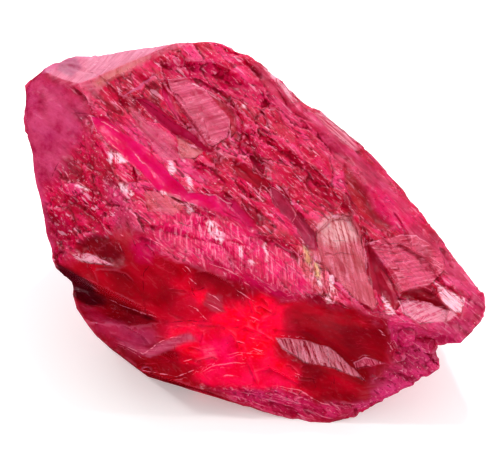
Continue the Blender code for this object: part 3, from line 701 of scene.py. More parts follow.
DARK_LINES = [
    [(-6.2, -1.5), (-6.5, -2.4), (-7.1, -3.1), (-7.1, -5.6)],
    [(-3.8, -3.8), (-3.0, -4.1), (-3.9, -4.4)],
    [(-3.5, -6.3), (-3.1, -6.3), (-2.5, -6.4)],
    [(-7.9, -0.7), (-7.5, -1.6)],
    [(-5.1, -7.8), (-4.8, -9.1)],
    [(-4.0, -9.9), (-6.0, -10.3)],
    [(1.1, -0.6), (2.2, -0.9), (3.8, -1.5), (4.3, -1.9)],
    [(7.8, -5.4), (8.3, -5.7), (9.5, -5.9), (10.0, -5.6)],
    [(-5.7, 1.1), (-4.7, 0.3), (-3.0, -0.4)],
    [(-0.7, 2.4), (0.3, 1.4), (0.8, 0.3)],
    [(-8.7, 4.1), (-7.3, 2.7), (-6.0, 2.5)],
    [(2.0, 7.1), (3.3, 6.1), (4.5, 5.7)],
    [(-12.0, 5.1), (-11.5, 3.7), (-11.7, 2.4)],
    [(-12.7, 4.4), (-13.2, 3.1)],
    [(7.1, 0.4), (7.2, -0.9)],
    [(7.5, -0.3), (7.5, -2.4)],
    [(4.4, 0.0), (4.5, -1.3), (4.5, -2.1)],
    [(5.3, 0.6), (6.3, 0.8), (7.1, 0.4)],
    [(4.5, -1.1), (5.7, -1.0), (7.0, -1.1)],
    [(4.5, -2.0), (6.0, -1.8), (7.3, -2.0)],
    [(8.1, -1.3), (10.0, -1.1), (10.8, -1.2)],
    [(8.3, -1.9), (9.5, -1.8), (10.7, -1.7)],
    [(8.8, -2.4), (10.8, -2.3)],
    [(9.1, -2.9), (11.0, -2.8)],
    [(9.3, -3.5), (11.1, -3.3)],
    [(12.7, -4.3), (13.5, -4.7)],
    [(12.9, -4.8), (13.7, -5.2)],
    [(8.1, -2.0), (9.0, -2.9), (9.9, -4.3), (10.1, -5.1)],
    [(-7.8, 8.7), (-6.8, 8.1), (-5.7, 7.3), (-4.3, 6.2)],
    [(-5.9, 8.7), (-4.7, 7.1), (-3.0, 5.2)],
    [(-12.0, 7.6), (-10.7, 7.5)],
    [(-10.1, 6.7), (-9.9, 6.0), (-9.6, 5.6)],
    [(-8.8, 3.9), (-7.7, 3.2), (-6.7, 2.0)],
    [(3.1, -7.7), (3.3, -9.2)],
    [(5.1, -8.1), (5.3, -9.5)],
    [(4.1, -9.7), (4.5, -11.1)],
    [(5.5, -9.7), (5.8, -11.6)],
    [(4.2, -5.5), (6.0, -5.4), (8.0, -5.7)],
    [(-3.9, -3.8), (-3.8, -4.4), (-3.5, -4.9)],
    [(-5.5, -6.4), (-4.0, -6.3), (-3.0, -6.4)],
    [(-7.0, -5.1), (-6.9, -6.4)],
    [(2.7, 6.4), (3.3, 5.7), (4.5, 5.7)],
    [(5.3, 3.4), (6.3, 2.9), (6.8, 2.0)],
    [(-1.7, -7.9), (-1.2, -7.6), (-0.3, -7.9)],
]

GROWTH_LINES_DEG = {
    "great facet": 93.0,
    "striated facet": 27.0,
    "right striated facet": 18.0,
    "tip terrace": 32.0,
    "lens shelf": -72.0,
    "small shelf": -75.0,
    "striae strip": 84.0,
    "combed band": 86.0,
    "fibrous rim": -20.0,
    "great facet, top": 93.0,
}

LIT = 0.92                # surface colour for each part of the colour seen in the studio light

# glow, shade and glint carry painted glow, painted shade and painted glints.
TINTS = ("pale", "hot", "deep", "glow", "purple", "shade", "gold", "glint", "sleek", "comb", "even")


def lean():
    return Matrix.Rotation(math.radians(LEAN_DEG), 4, "X")


def to_rest():
    """Face-on millimetres to metres as it rests."""
    return Matrix.Translation(FACE_ON_CENTRE) @ lean() @ Matrix.Scale(MM, 4)


def unit(rows):
    rows = np.array(rows, float)
    return rows / np.maximum(np.linalg.norm(rows, axis=-1, keepdims=True), 1e-9)


def smooth(low, high, value):
    t = np.clip((value - low) / (high - low), 0.0, 1.0)
    return t * t * (3.0 - 2.0 * t)


# ---------------------------------------------------------------- noise


def lattice(cells, seed):
    """A repeatable random number from 0 to 1 for each whole-numbered cell."""
    cells = cells.astype(np.int64)
    mixed = cells[..., 0] * 73856093 ^ cells[..., 1] * 19349663 ^ cells[..., 2] * 83492791
    mixed = (mixed + seed * 2654435761) & 0xFFFFFFFF
    mixed = ((mixed ^ (mixed >> 15)) * 2246822519) & 0xFFFFFFFF
    mixed = ((mixed ^ (mixed >> 13)) * 3266489917) & 0xFFFFFFFF
    return ((mixed ^ (mixed >> 16)) & 0xFFFFFF) / float(0xFFFFFF)


def soft_noise(points, seed):
    """Smooth noise from 0 to 1, one bump or so to each unit of length."""
    base = np.floor(points)
    part = points - base
    part = part * part * (3.0 - 2.0 * part)
    total = np.zeros(len(points))
    for corner in np.ndindex(2, 2, 2):
        step = np.array(corner)
        weight = np.prod(np.where(step == 1, part, 1.0 - part), axis=1)
        total += weight * lattice(base + step, seed)
    return total


def broken_planes(points, seed, tilt, lift=(0.0, 0.0, 0.0)):
    """Small flat chips, one to a cell: height from about -1 to 1, the chip's lot, and room to its rim."""
    base = np.floor(points)
    nearest = np.full(len(points), 1e9)
    second = np.full(len(points), 1e9)
    height = np.zeros(len(points))
    lot = np.zeros(len(points))
    for offset in np.ndindex(3, 3, 3):
        cell = base + np.array(offset) - 1
        seeds = np.stack([lattice(cell, seed + k) for k in range(3)], axis=1) + cell
        away = points - seeds
        distance = np.linalg.norm(away, axis=1)
        closer = distance < nearest
        second = np.where(closer, nearest, np.minimum(second, distance))
        slope = np.stack([lattice(cell, seed + 5 + k) for k in range(3)], axis=1) * 2.0 - 1.0
        slope = slope * tilt + np.array(lift)
        own = lattice(cell, seed + 9)
        height = np.where(closer, own * 2.0 - 1.0 + np.einsum("ij,ij->i", away, slope), height)
        lot = np.where(closer, lattice(cell, seed + 12), lot)
        nearest = np.where(closer, distance, nearest)
    return height, lot, second - nearest


# ---------------------------------------------------------------- patches


def seen_face_on(here):
    """Where points show on the face-on plane, seen from the camera's distance."""
    return here[:, :2] * (CAMERA_DISTANCE_MM / (CAMERA_DISTANCE_MM - here[:, 2]))[:, None]


def depth_inside(flat, outline):
    """How far points are inside an outline in mm; outside is below 0."""
    corners = np.array(outline, float)
    nearest = np.full(len(flat), 1e9)
    inside = np.zeros(len(flat), bool)
    for start, end in zip(corners, np.roll(corners, -1, axis=0)):
        side = end - start
        away = flat - start
        t = np.clip(away @ side / max(side @ side, 1e-9), 0.0, 1.0)
        gap = away - t[:, None] * side
        nearest = np.minimum(nearest, np.einsum("ij,ij->i", gap, gap))
        crosses = (start[1] > flat[:, 1]) != (end[1] > flat[:, 1])
        rise = side[1] if abs(side[1]) > 1e-9 else 1e-9
        at = start[0] + (flat[:, 1] - start[1]) / rise * side[0]
        inside ^= crosses & (flat[:, 0] < at)
    return np.where(inside, 1.0, -1.0) * np.sqrt(nearest)


def within_reach(flat, path, reach):
    """Which points lie in a path's box, or at most this far from it."""
    corners = np.array(path, float)
    low, high = corners.min(axis=0) - reach, corners.max(axis=0) + reach
    return np.nonzero(np.all((flat > low) & (flat < high), axis=1))[0]


def beside(flat, paths, reach, closed=False):
    """The nearest line to each point: how far to its left, how strong it is, and how it faces.

    An open line fades towards its ends.  It faces up to the left at 1 and down to the right at -1.
    """
    nearest = np.full(len(flat), reach)
    side = np.full(len(flat), reach)
    strength = np.zeros(len(flat))
    faces = np.zeros(len(flat))
    for path in paths:
        corners = np.array(path, float)
        rows = within_reach(flat, path, reach)
        if closed:
            after = np.roll(corners, -1, axis=0)
            if (corners[:, 0] * after[:, 1] - corners[:, 1] * after[:, 0]).sum() < 0.0:
                corners = corners[::-1]
            corners = np.concatenate([corners, corners[:1]])
        lengths = np.linalg.norm(np.diff(corners, axis=0), axis=1)
        run = np.concatenate([[0.0], np.cumsum(lengths)])
        for k, length in enumerate(lengths):
            along = (corners[k + 1] - corners[k]) / max(length, 1e-6)
            away = flat[rows] - corners[k]
            t = np.clip(away @ along, 0.0, length)
            distance = np.linalg.norm(away - t[:, None] * along, axis=1)
            closer = distance < nearest[rows]
            picked = rows[closer]
            left = along[0] * away[closer, 1] - along[1] * away[closer, 0]
            nearest[picked] = distance[closer]
            side[picked] = np.where(left < 0.0, -1.0, 1.0) * distance[closer]
            way = (run[k] + t[closer]) / run[-1]
            strength[picked] = 1.0 if closed else np.sin(np.pi * way)
            faces[picked] = -along[0] * 0.8 - along[1] * 0.6
    return side, strength * smooth(reach, 0.6 * reach, nearest), faces


def patch_tints(here, facing):
    """Every tint at each point, and how far each patch stands out there."""
    flat = seen_face_on(here)
    shake = np.stack([soft_noise(here / 0.5, 70), soft_noise(here / 0.5, 71)], axis=1) - 0.5
    flat = flat + shake * 0.12
    ragged = soft_noise(here / 1.1, 72) + 0.5 * soft_noise(here / 0.4, 73) - 0.75
    front = smooth(-0.15, 0.02, facing)
    tints = {name: np.zeros(len(here)) for name in TINTS}
    level = np.zeros(len(here))
    frosted = smooth(-0.15, -0.45, facing) * smooth(0.40, 0.55, soft_noise(here / 2.8, 77))
    tints["sleek"] += 0.8 * frosted
    tints["pale"] += 0.18 * frosted
    for _, soft, facts, outline in ZONES:
        rows = within_reach(flat, outline, soft * 2.0 + 0.05)
        inside = depth_inside(flat[rows], outline)
        if soft > 0.28:
            inside = inside + ragged[rows] * soft * 1.6
        amount = smooth(-soft, soft, inside) * front[rows]
        for name in TINTS:
            strength = facts.get(name, 0.0)
            if strength:
                tints[name][rows] += (strength - tints[name][rows]) * amount
            elif soft < 0.2 and name not in ("sleek", "glint"):
                tints[name][rows] *= 1.0 - 0.85 * amount
        if soft < 0.3:
            level[rows] += (facts.get("level", 0.0) - level[rows]) * amount
    # Painted glints.
    for outline in GLINTS:
        amount = smooth(-0.05, 0.05, depth_inside(flat, outline)) * front
        tints["glint"] = np.maximum(tints["glint"], amount)
    flat = flat - shake * 0.05
    # Patch rims, to be painted light or dark by which way they face; gaps break them up.
    rims = [outline for _, soft, _, outline in ZONES if soft < CRISP_MM]
    rim_line_gaps = smooth(0.35, 0.62, soft_noise(here / 0.8, 75))
    side, strength, faces = beside(flat, rims, 0.24, closed=True)
    tints["rim side"], tints["rim near"], tints["rim faces"] = side, strength * rim_line_gaps * front, faces
    # Thin lines: painted highlight lines, and dark cracks.
    side, strength, _ = beside(flat, LIGHT_LINES, 0.3)
    tints["light side"], tints["light near"] = side, strength * front
    side, strength, _ = beside(flat, DARK_LINES, 0.3)
    tints["dark side"], tints["dark near"] = side, strength * front
    return tints, level


def swell(here):
    """How far the outline's swellings push each point."""
    flat = seen_face_on(here)
    push = np.zeros_like(flat)
    for centre, radius, by in SWELLS:
        away = np.linalg.norm(flat - np.array(centre), axis=1) / radius
        push += np.clip(1.0 - away**2, 0.0, 1.0)[:, None] ** 2 * np.array(by)
    return push


# ---------------------------------------------------------------- surface


def select_only(piece):
    bpy.ops.object.select_all(action="DESELECT")
    piece.select_set(True)
    bpy.context.view_layer.objects.active = piece


def copy_of_block():
    """The CAD crystal's mesh, merged, with one face for each flat facet."""
    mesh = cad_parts["ruby_crystal"].data.copy()
    mesh.name = "ruby_surface"
    mesh.materials.clear()
    piece = bpy.data.objects.new("ruby_surface", mesh)
    bpy.context.scene.collection.objects.link(piece)
    select_only(piece)
    bpy.ops.object.mode_set(mode="EDIT")
    bpy.ops.mesh.select_all(action="SELECT")
    bpy.ops.mesh.remove_doubles(threshold=WELD)
    bpy.ops.mesh.dissolve_limited(angle_limit=math.radians(FLAT_DEG))
    bpy.ops.object.mode_set(mode="OBJECT")
    return piece


def face_on(points):
    """Metres as it rests to face-on millimetres."""
    inward = np.array(to_rest().inverted())
    return points @ inward[:3, :3].T + inward[:3, 3]


def read(collection, name, width):
    values = np.empty(len(collection) * width, np.float32)
    collection.foreach_get(name, values)
    return values.reshape(-1, width).astype(float) if width > 1 else values.astype(float)


def read_whole(collection, name, width=1):
    values = np.empty(len(collection) * width, np.int32)
    collection.foreach_get(name, values)
    return values.reshape(-1, width) if width > 1 else values


def number_facets(piece):
    """Numbers the facets, and gives their outward directions and middles, face-on."""
    mesh = piece.data
    number = mesh.attributes.new("facet", "INT", "FACE")
    number.data.foreach_set("value", np.arange(len(mesh.polygons), dtype=np.int32))
    normals = read(mesh.polygons, "normal", 3) @ np.array(lean().to_3x3())
    return normals, face_on(read(mesh.polygons, "center", 3))


def longest_edge(here, facing):
    """How long an edge may be at each point: short along crisp rims and thin lines."""
    flat = seen_face_on(here)
    front = facing > -0.1
    calm = depth_inside(flat, next(outline for name, _, _, outline in ZONES if name == "front face"))
    longest = np.where(front, np.where(calm > 0.3, EDGE_CALM_MM, EDGE_FRONT_MM), EDGE_BACK_MM)
    rims = [outline for _, soft, _, outline in ZONES if soft < CRISP_MM]
    side = beside(flat, rims, 0.24, closed=True)[0]
    line = beside(flat, LIGHT_LINES + DARK_LINES, 0.2)[0]
    return np.where(front & ((np.abs(side) < 0.14) | (np.abs(line) < 0.12)), EDGE_CRISP_MM, longest)


def outward_face_on(mesh):
    """Each point's outward direction, summed over its faces in a fixed order."""
    point = read_whole(mesh.loops, "vertex_index")
    faces = read(mesh.polygons, "normal", 3) * read(mesh.polygons, "area", 1)[:, None]
    faces = np.repeat(faces, read_whole(mesh.polygons, "loop_total"), axis=0)
    total = [np.bincount(point, faces[:, k], len(mesh.vertices)) for k in range(3)]
    return unit(np.stack(total, axis=1)) @ np.array(lean().to_3x3())


def refine(piece):
    """Splits long edges until the surface is fine enough to carry its chips and lines."""
    select_only(piece)
    bpy.context.tool_settings.mesh_select_mode = (False, True, False)
    coarser = 1.0
    for _ in range(16):
        mesh = piece.data
        ends = read_whole(mesh.edges, "vertices", 2)
        here = face_on(read(mesh.vertices, "co", 3))
        outward = outward_face_on(mesh)
        length = np.linalg.norm(here[ends[:, 0]] - here[ends[:, 1]], axis=1)
        rows = np.nonzero(length > EDGE_CRISP_MM * coarser)[0]
        middle = here[ends[rows]].mean(axis=1)
        long = length[rows] > longest_edge(middle, outward[ends[rows]].mean(axis=1)[:, 2]) * coarser
        if not long.any():
            break
        chosen = np.zeros(len(ends), bool)
        chosen[rows] = long
        for collection in (mesh.vertices, mesh.polygons):
            collection.foreach_set("select", np.zeros(len(collection), bool))
        mesh.edges.foreach_set("select", chosen)
        bpy.ops.object.mode_set(mode="EDIT")
        bpy.ops.mesh.subdivide(number_cuts=1, ngon=True)
        bpy.ops.mesh.select_all(action="SELECT")
        bpy.ops.mesh.quads_convert_to_tris(quad_method="BEAUTY", ngon_method="BEAUTY")
        bpy.ops.mesh.beautify_fill(angle_limit=math.radians(FLAT_DEG))
        bpy.ops.object.mode_set(mode="OBJECT")
    print("surface has", len(piece.data.polygons), "faces")


def corner_table(mesh):
    """For each corner its point and its facet."""
    totals = read_whole(mesh.polygons, "loop_total")
    facets = read_whole(mesh.attributes["facet"].data, "value")
    return read_whole(mesh.loops, "vertex_index"), np.repeat(facets, totals)


def spread_over(ends, values, rounds, share=0.5):
    """Evens out a value, or a row of them, between neighbouring points."""
    size = len(values)
    count = np.bincount(ends.ravel(), minlength=size).astype(float)
    flat = values.reshape(size, -1)
    for _ in range(rounds):
        total = np.zeros_like(flat)
        for column in range(flat.shape[1]):
            one = flat[:, column]
            total[:, column] = np.bincount(ends[:, 0], one[ends[:, 1]], size)
            total[:, column] += np.bincount(ends[:, 1], one[ends[:, 0]], size)
        flat = flat * (1.0 - share) + share * total / np.maximum(count, 1.0)[:, None]
    return flat.reshape(values.shape)


def shard_frame():
    lengthwise = unit(SHARD_ALONG)
    crosswise = unit(np.cross(unit(BROAD_FACE), lengthwise))
    return np.stack([lengthwise, crosswise, np.cross(lengthwise, crosswise)], axis=1)


def carve(piece, normals):
    """Moves the surface in and out: patches, shingles, shards and grains."""
    mesh = piece.data
    places = read(mesh.vertices, "co", 3)
    here = face_on(places)
    ends = read_whole(mesh.edges, "vertices", 2)
    outward = read(mesh.vertices, "normal", 3) @ np.array(lean().to_3x3())
    broad = unit(spread_over(ends, outward, 14))
    own = unit(spread_over(ends, outward, 2))
    tints, level = patch_tints(here, np.maximum(broad[:, 2], own[:, 2]))
    even = (spread_over(ends, here, EVEN_ROUNDS) - here) * tints["even"][:, None]
    even[:, :2] += swell(here)
    here = here + even
    places = places + even @ np.array(lean().to_3x3()).T * MM

    corner_point, corner_facet = corner_table(mesh)
    pairs = np.unique(corner_point.astype(np.int64) * 100000 + corner_facet)
    point = pairs // 100000
    facet = pairs % 100000
    warp = np.stack([soft_noise(here / 2.1 + k * 17.0, 40 + k) for k in range(3)], axis=1) - 0.5
    bent = (here + warp * 1.2) @ shard_frame()
    on_broad = smooth(0.86, 0.95, broad @ unit(BROAD_FACE))
    on_end = smooth(0.93, 0.98, broad @ unit(END_FACE))
    rough = (1.0 - tints["sleek"]) * (1.0 - 0.85 * on_end)
    shingle, tints["plate"], tints["plate rim"] = broken_planes(
        bent / np.array(SHINGLE_MM), 3, 0.5, (0.0, 0.9, 0.0)
    )
    shard, tints["shard"], _ = broken_planes(bent / np.array(SHARD_MM), 13, 0.8, (0.0, 0.5, 0.0))
    grain = broken_planes(here / GRAIN_MM, 21, 0.6)[0]
    move = shingle * SHINGLE_RISE_MM * (0.55 + 0.45 * on_broad) * rough
    move += shard * SHARD_RISE_MM * rough
    move += grain * GRAIN_RISE_MM * (0.25 + 0.75 * rough)
    shift = normals[facet] * move[point][:, None]
    total = np.stack([np.bincount(point, shift[:, k], len(here)) for k in range(3)], axis=1)
    shift = total / np.bincount(point, minlength=len(here))[:, None]
    shift += (level * on_broad)[:, None] * unit(BROAD_FACE)
    shift += (level * (1.0 - on_broad))[:, None] * broad
    moved = places + shift @ np.array(lean().to_3x3()).T * MM
    moved = np.clip(moved, np.array(cad_box[0]), np.array(cad_box[1]))
    mesh.vertices.foreach_set("co", moved.astype(np.float32).ravel())
    mesh.update()
    return tints


def relief(mesh):
    """How each point stands: ridge or valley, hollow, and how far it turns from the whole; the material paints
    highlight on ridges and shade in valleys, hollows and turned faces.
    """
    places = read(mesh.vertices, "co", 3) / MM
    normals = read(mesh.vertices, "normal", 3)
    ends = read_whole(mesh.edges, "vertices", 2)
    near = spread_over(ends, places, 2)
    far = spread_over(ends, places, 24)
    ridge = np.einsum("ij,ij->i", places - near, normals)
    hollow = np.einsum("ij,ij->i", places - far, unit(spread_over(ends, normals, 24)))
    whole = unit(spread_over(ends, normals, 30))
    turn = 1.0 - np.einsum("ij,ij->i", normals, whole)
    return ridge, hollow, turn


def give_colour(mesh, name, first, second, third):
    layer = mesh.color_attributes.new(name, "FLOAT_COLOR", "POINT")
    facts = np.stack([first, second, third, np.ones(len(first))], axis=1)
    layer.data.foreach_set("color", facts.astype(np.float32).ravel())


def give_facts(piece, normals, middles, tints):
    """What the material reads: tints, relief, facet numbers and growth-line coordinates."""
    mesh = piece.data
    give_colour(mesh, "pale_hot_deep", tints["pale"], tints["hot"], tints["deep"])
    give_colour(mesh, "glow_purple_shade", tints["glow"], tints["purple"], tints["shade"])
    give_colour(mesh, "gold_glint_sleek", tints["gold"], tints["glint"], tints["sleek"])
    ridge, hollow, turn = relief(mesh)
    print("ridge", np.percentile(ridge, (2, 10, 50, 90, 98)))
    print("hollow", np.percentile(hollow, (2, 10, 50, 90, 98)))
    print("turn", np.percentile(turn, (2, 10, 50, 90, 98)))
    give_colour(mesh, "ridge_hollow_turn", ridge * 10.0 + 0.5, hollow + 0.5, turn)
    give_colour(mesh, "rim_line", tints["rim side"] + 0.5, tints["rim near"], tints["rim faces"] + 1.0)
    give_colour(mesh, "light_line", tints["light side"] + 0.5, tints["light near"], tints["comb"])
    give_colour(mesh, "plate_shard_edge", tints["plate"], tints["shard"], tints["plate rim"])
    give_colour(mesh, "dark_line", tints["dark side"] + 0.5, tints["dark near"], tints["comb"])

    corner_point, corner_facet = corner_table(mesh)
    here = face_on(read(mesh.vertices, "co", 3))
    centres = face_on(read(mesh.polygons, "center", 3))
    flat = seen_face_on(centres)
    lot = lattice(np.stack([np.arange(len(normals))] * 3, axis=1), 7)
    usual = np.radians(np.array((-42.0, 88.0, 14.0)))[(lot * 2.999).astype(int)]
    face_facet = read_whole(mesh.attributes["facet"].data, "value")
    angle = usual[face_facet]
    for name, _, _, outline in ZONES:
        if name in GROWTH_LINES_DEG:
            inside = (depth_inside(flat, outline) > 0.0) & (centres[:, 2] > 0.0)
            angle = np.where(inside, math.radians(GROWTH_LINES_DEG[name]), angle)
    angle = np.repeat(angle, read_whole(mesh.polygons, "loop_total"))
    along = np.stack([np.cos(angle), np.sin(angle), 0.0 * angle], axis=1)
    facing = normals[corner_facet]
    along = unit(along - facing * np.einsum("ij,ij->i", along, facing)[:, None])
    across = np.cross(facing, along)
    at = here[corner_point]
    lines = mesh.uv_layers.new(name="growth_lines")
    coordinates = np.stack(
        [
            np.einsum("ij,ij->i", at, across) + lot[corner_facet] * 10.0,
            np.einsum("ij,ij->i", at, along),
        ],
        axis=1,
    )
    lines.data.foreach_set("uv", coordinates.astype(np.float32).ravel())
    frost = smooth(0.80, 0.99, normals @ unit(BROAD_FACE))
    end = smooth(0.93, 0.99, normals @ unit(END_FACE)) * (middles[:, 1] > END_FACE_ABOVE_MM)
    facts = np.stack([frost, lot, end, np.ones(len(lot))], axis=1)[corner_facet]
    layer = mesh.color_attributes.new("frost_lot_end", "FLOAT_COLOR", "CORNER")
    layer.data.foreach_set("color", facts.astype(np.float32).ravel())


# ---------------------------------------------------------------- materials


class Nodes:
    """Short ways to add and join shader nodes."""

    def __init__(self, tree):
        self.tree = tree

    def add(self, kind, **settings):
        node = self.tree.nodes.new(kind)
        for name, value in settings.items():
            setattr(node, name, value)
        return node

    def feed(self, socket, value):
        if isinstance(value, bpy.types.NodeSocket):
            self.tree.links.new(value, socket)
        else:
            socket.default_value = value

    def math(self, operation, first, second=0.0, clamp=False):
        node = self.add("ShaderNodeMath", operation=operation, use_clamp=clamp)
        self.feed(node.inputs[0], first)
        self.feed(node.inputs[1], second)
        return node.outputs[0]

    def times(self, first, second):
        return self.math("MULTIPLY", first, second)

    def mix(self, amount, first, second):
        node = self.add("ShaderNodeMix", data_type="RGBA")
        self.feed(node.inputs[0], amount)
        self.feed(node.inputs[6], first)
        self.feed(node.inputs[7], second)
        return node.outputs[2]

    def ranged(self, value, low, high, to_low=0.0, to_high=1.0):
        node = self.add("ShaderNodeMapRange", clamp=True)
        self.feed(node.inputs[0], value)
        for index, number in enumerate((low, high, to_low, to_high)):
            self.feed(node.inputs[index + 1], number)
        return node.outputs[0]

    def noise(self, place, scale, detail=2.0, roughness=0.5):
        node = self.add("ShaderNodeTexNoise")
        self.feed(node.inputs["Vector"], place)
        node.inputs["Scale"].default_value = scale
        node.inputs["Detail"].default_value = detail
        node.inputs["Roughness"].default_value = roughness
        return node.outputs["Fac"]

    def three(self, name):
        """The three values kept in one attribute."""
        split = self.add("ShaderNodeSeparateColor")
        kept = self.add("ShaderNodeAttribute", attribute_name=name)
        self.feed(split.inputs[0], kept.outputs["Color"])
        return split.outputs[0], split.outputs[1], split.outputs[2]

    def thin_line(self, side, strength, half_width):
        """A crisp line where the kept distance passes zero, thinner where the line is faint."""
        away = self.math("ABSOLUTE", self.math("SUBTRACT", side, 0.5))
        return self.ranged(self.math("SUBTRACT", self.times(strength, half_width), away), 0.0, 0.018)

    def stretched(self, place, scale, turn=(0.0, 0.0, 0.0)):
        node = self.add("ShaderNodeMapping")
        self.feed(node.inputs["Vector"], place)
        node.inputs["Scale"].default_value = scale
        node.inputs["Rotation"].default_value = turn
        return node.outputs["Vector"]

    def cells(self, stretched, place, bend):
        """Flat chips: a number for each chip, and a colour that tells which way it leans."""
        bender = self.add("ShaderNodeTexNoise")
        self.feed(bender.inputs["Vector"], place)
        bender.inputs["Scale"].default_value = 900.0
        shifted = self.add("ShaderNodeVectorMath", operation="MULTIPLY_ADD")
        self.feed(shifted.inputs[0], bender.outputs["Color"])
        shifted.inputs[1].default_value = (bend, bend, bend)
        self.feed(shifted.inputs[2], stretched)
        chips = self.add("ShaderNodeTexVoronoi", feature="F1")
        self.feed(chips.inputs["Vector"], shifted.outputs[0])
        chips.inputs["Scale"].default_value = 1.0
        split = self.add("ShaderNodeSeparateColor")
        self.feed(split.inputs[0], chips.outputs["Color"])
        return split.outputs[0], chips.outputs["Color"]

    def tilted(self, leaning, amount):
        """The surface's direction, turned a little for each chip."""
        centred = self.add("ShaderNodeVectorMath", operation="SUBTRACT")
        self.feed(centred.inputs[0], leaning)
        centred.inputs[1].default_value = (0.5, 0.5, 0.5)
        scaled = self.add("ShaderNodeVectorMath", operation="SCALE")
        self.feed(scaled.inputs[0], centred.outputs[0])
        self.feed(scaled.inputs["Scale"], amount)
        added = self.add("ShaderNodeVectorMath", operation="ADD")
        self.feed(added.inputs[0], self.add("ShaderNodeNewGeometry").outputs["Normal"])
        self.feed(added.inputs[1], scaled.outputs[0])
        whole = self.add("ShaderNodeVectorMath", operation="NORMALIZE")
        self.feed(whole.inputs[0], added.outputs[0])
        return whole.outputs[0]

    def ramp(self, value, stops):
        node = self.add("ShaderNodeValToRGB")
        self.feed(node.inputs[0], value)
        marks = node.color_ramp.elements
        while len(marks) < len(stops):
            marks.new(0.5)
        for mark, (at, colour) in zip(marks, stops):
            mark.position = at
            mark.color = colour
        return node.outputs[0]


def srgb(red, green, blue):
    """An 8-bit colour, as it looks in the studio light, as a linear surface colour."""
    made = []
    for value in (red, green, blue):
        value /= 255.0
        value = value / 12.92 if value <= 0.04045 else ((value + 0.055) / 1.055) ** 2.4
        made.append(value * LIT)
    return (*made, 1.0)


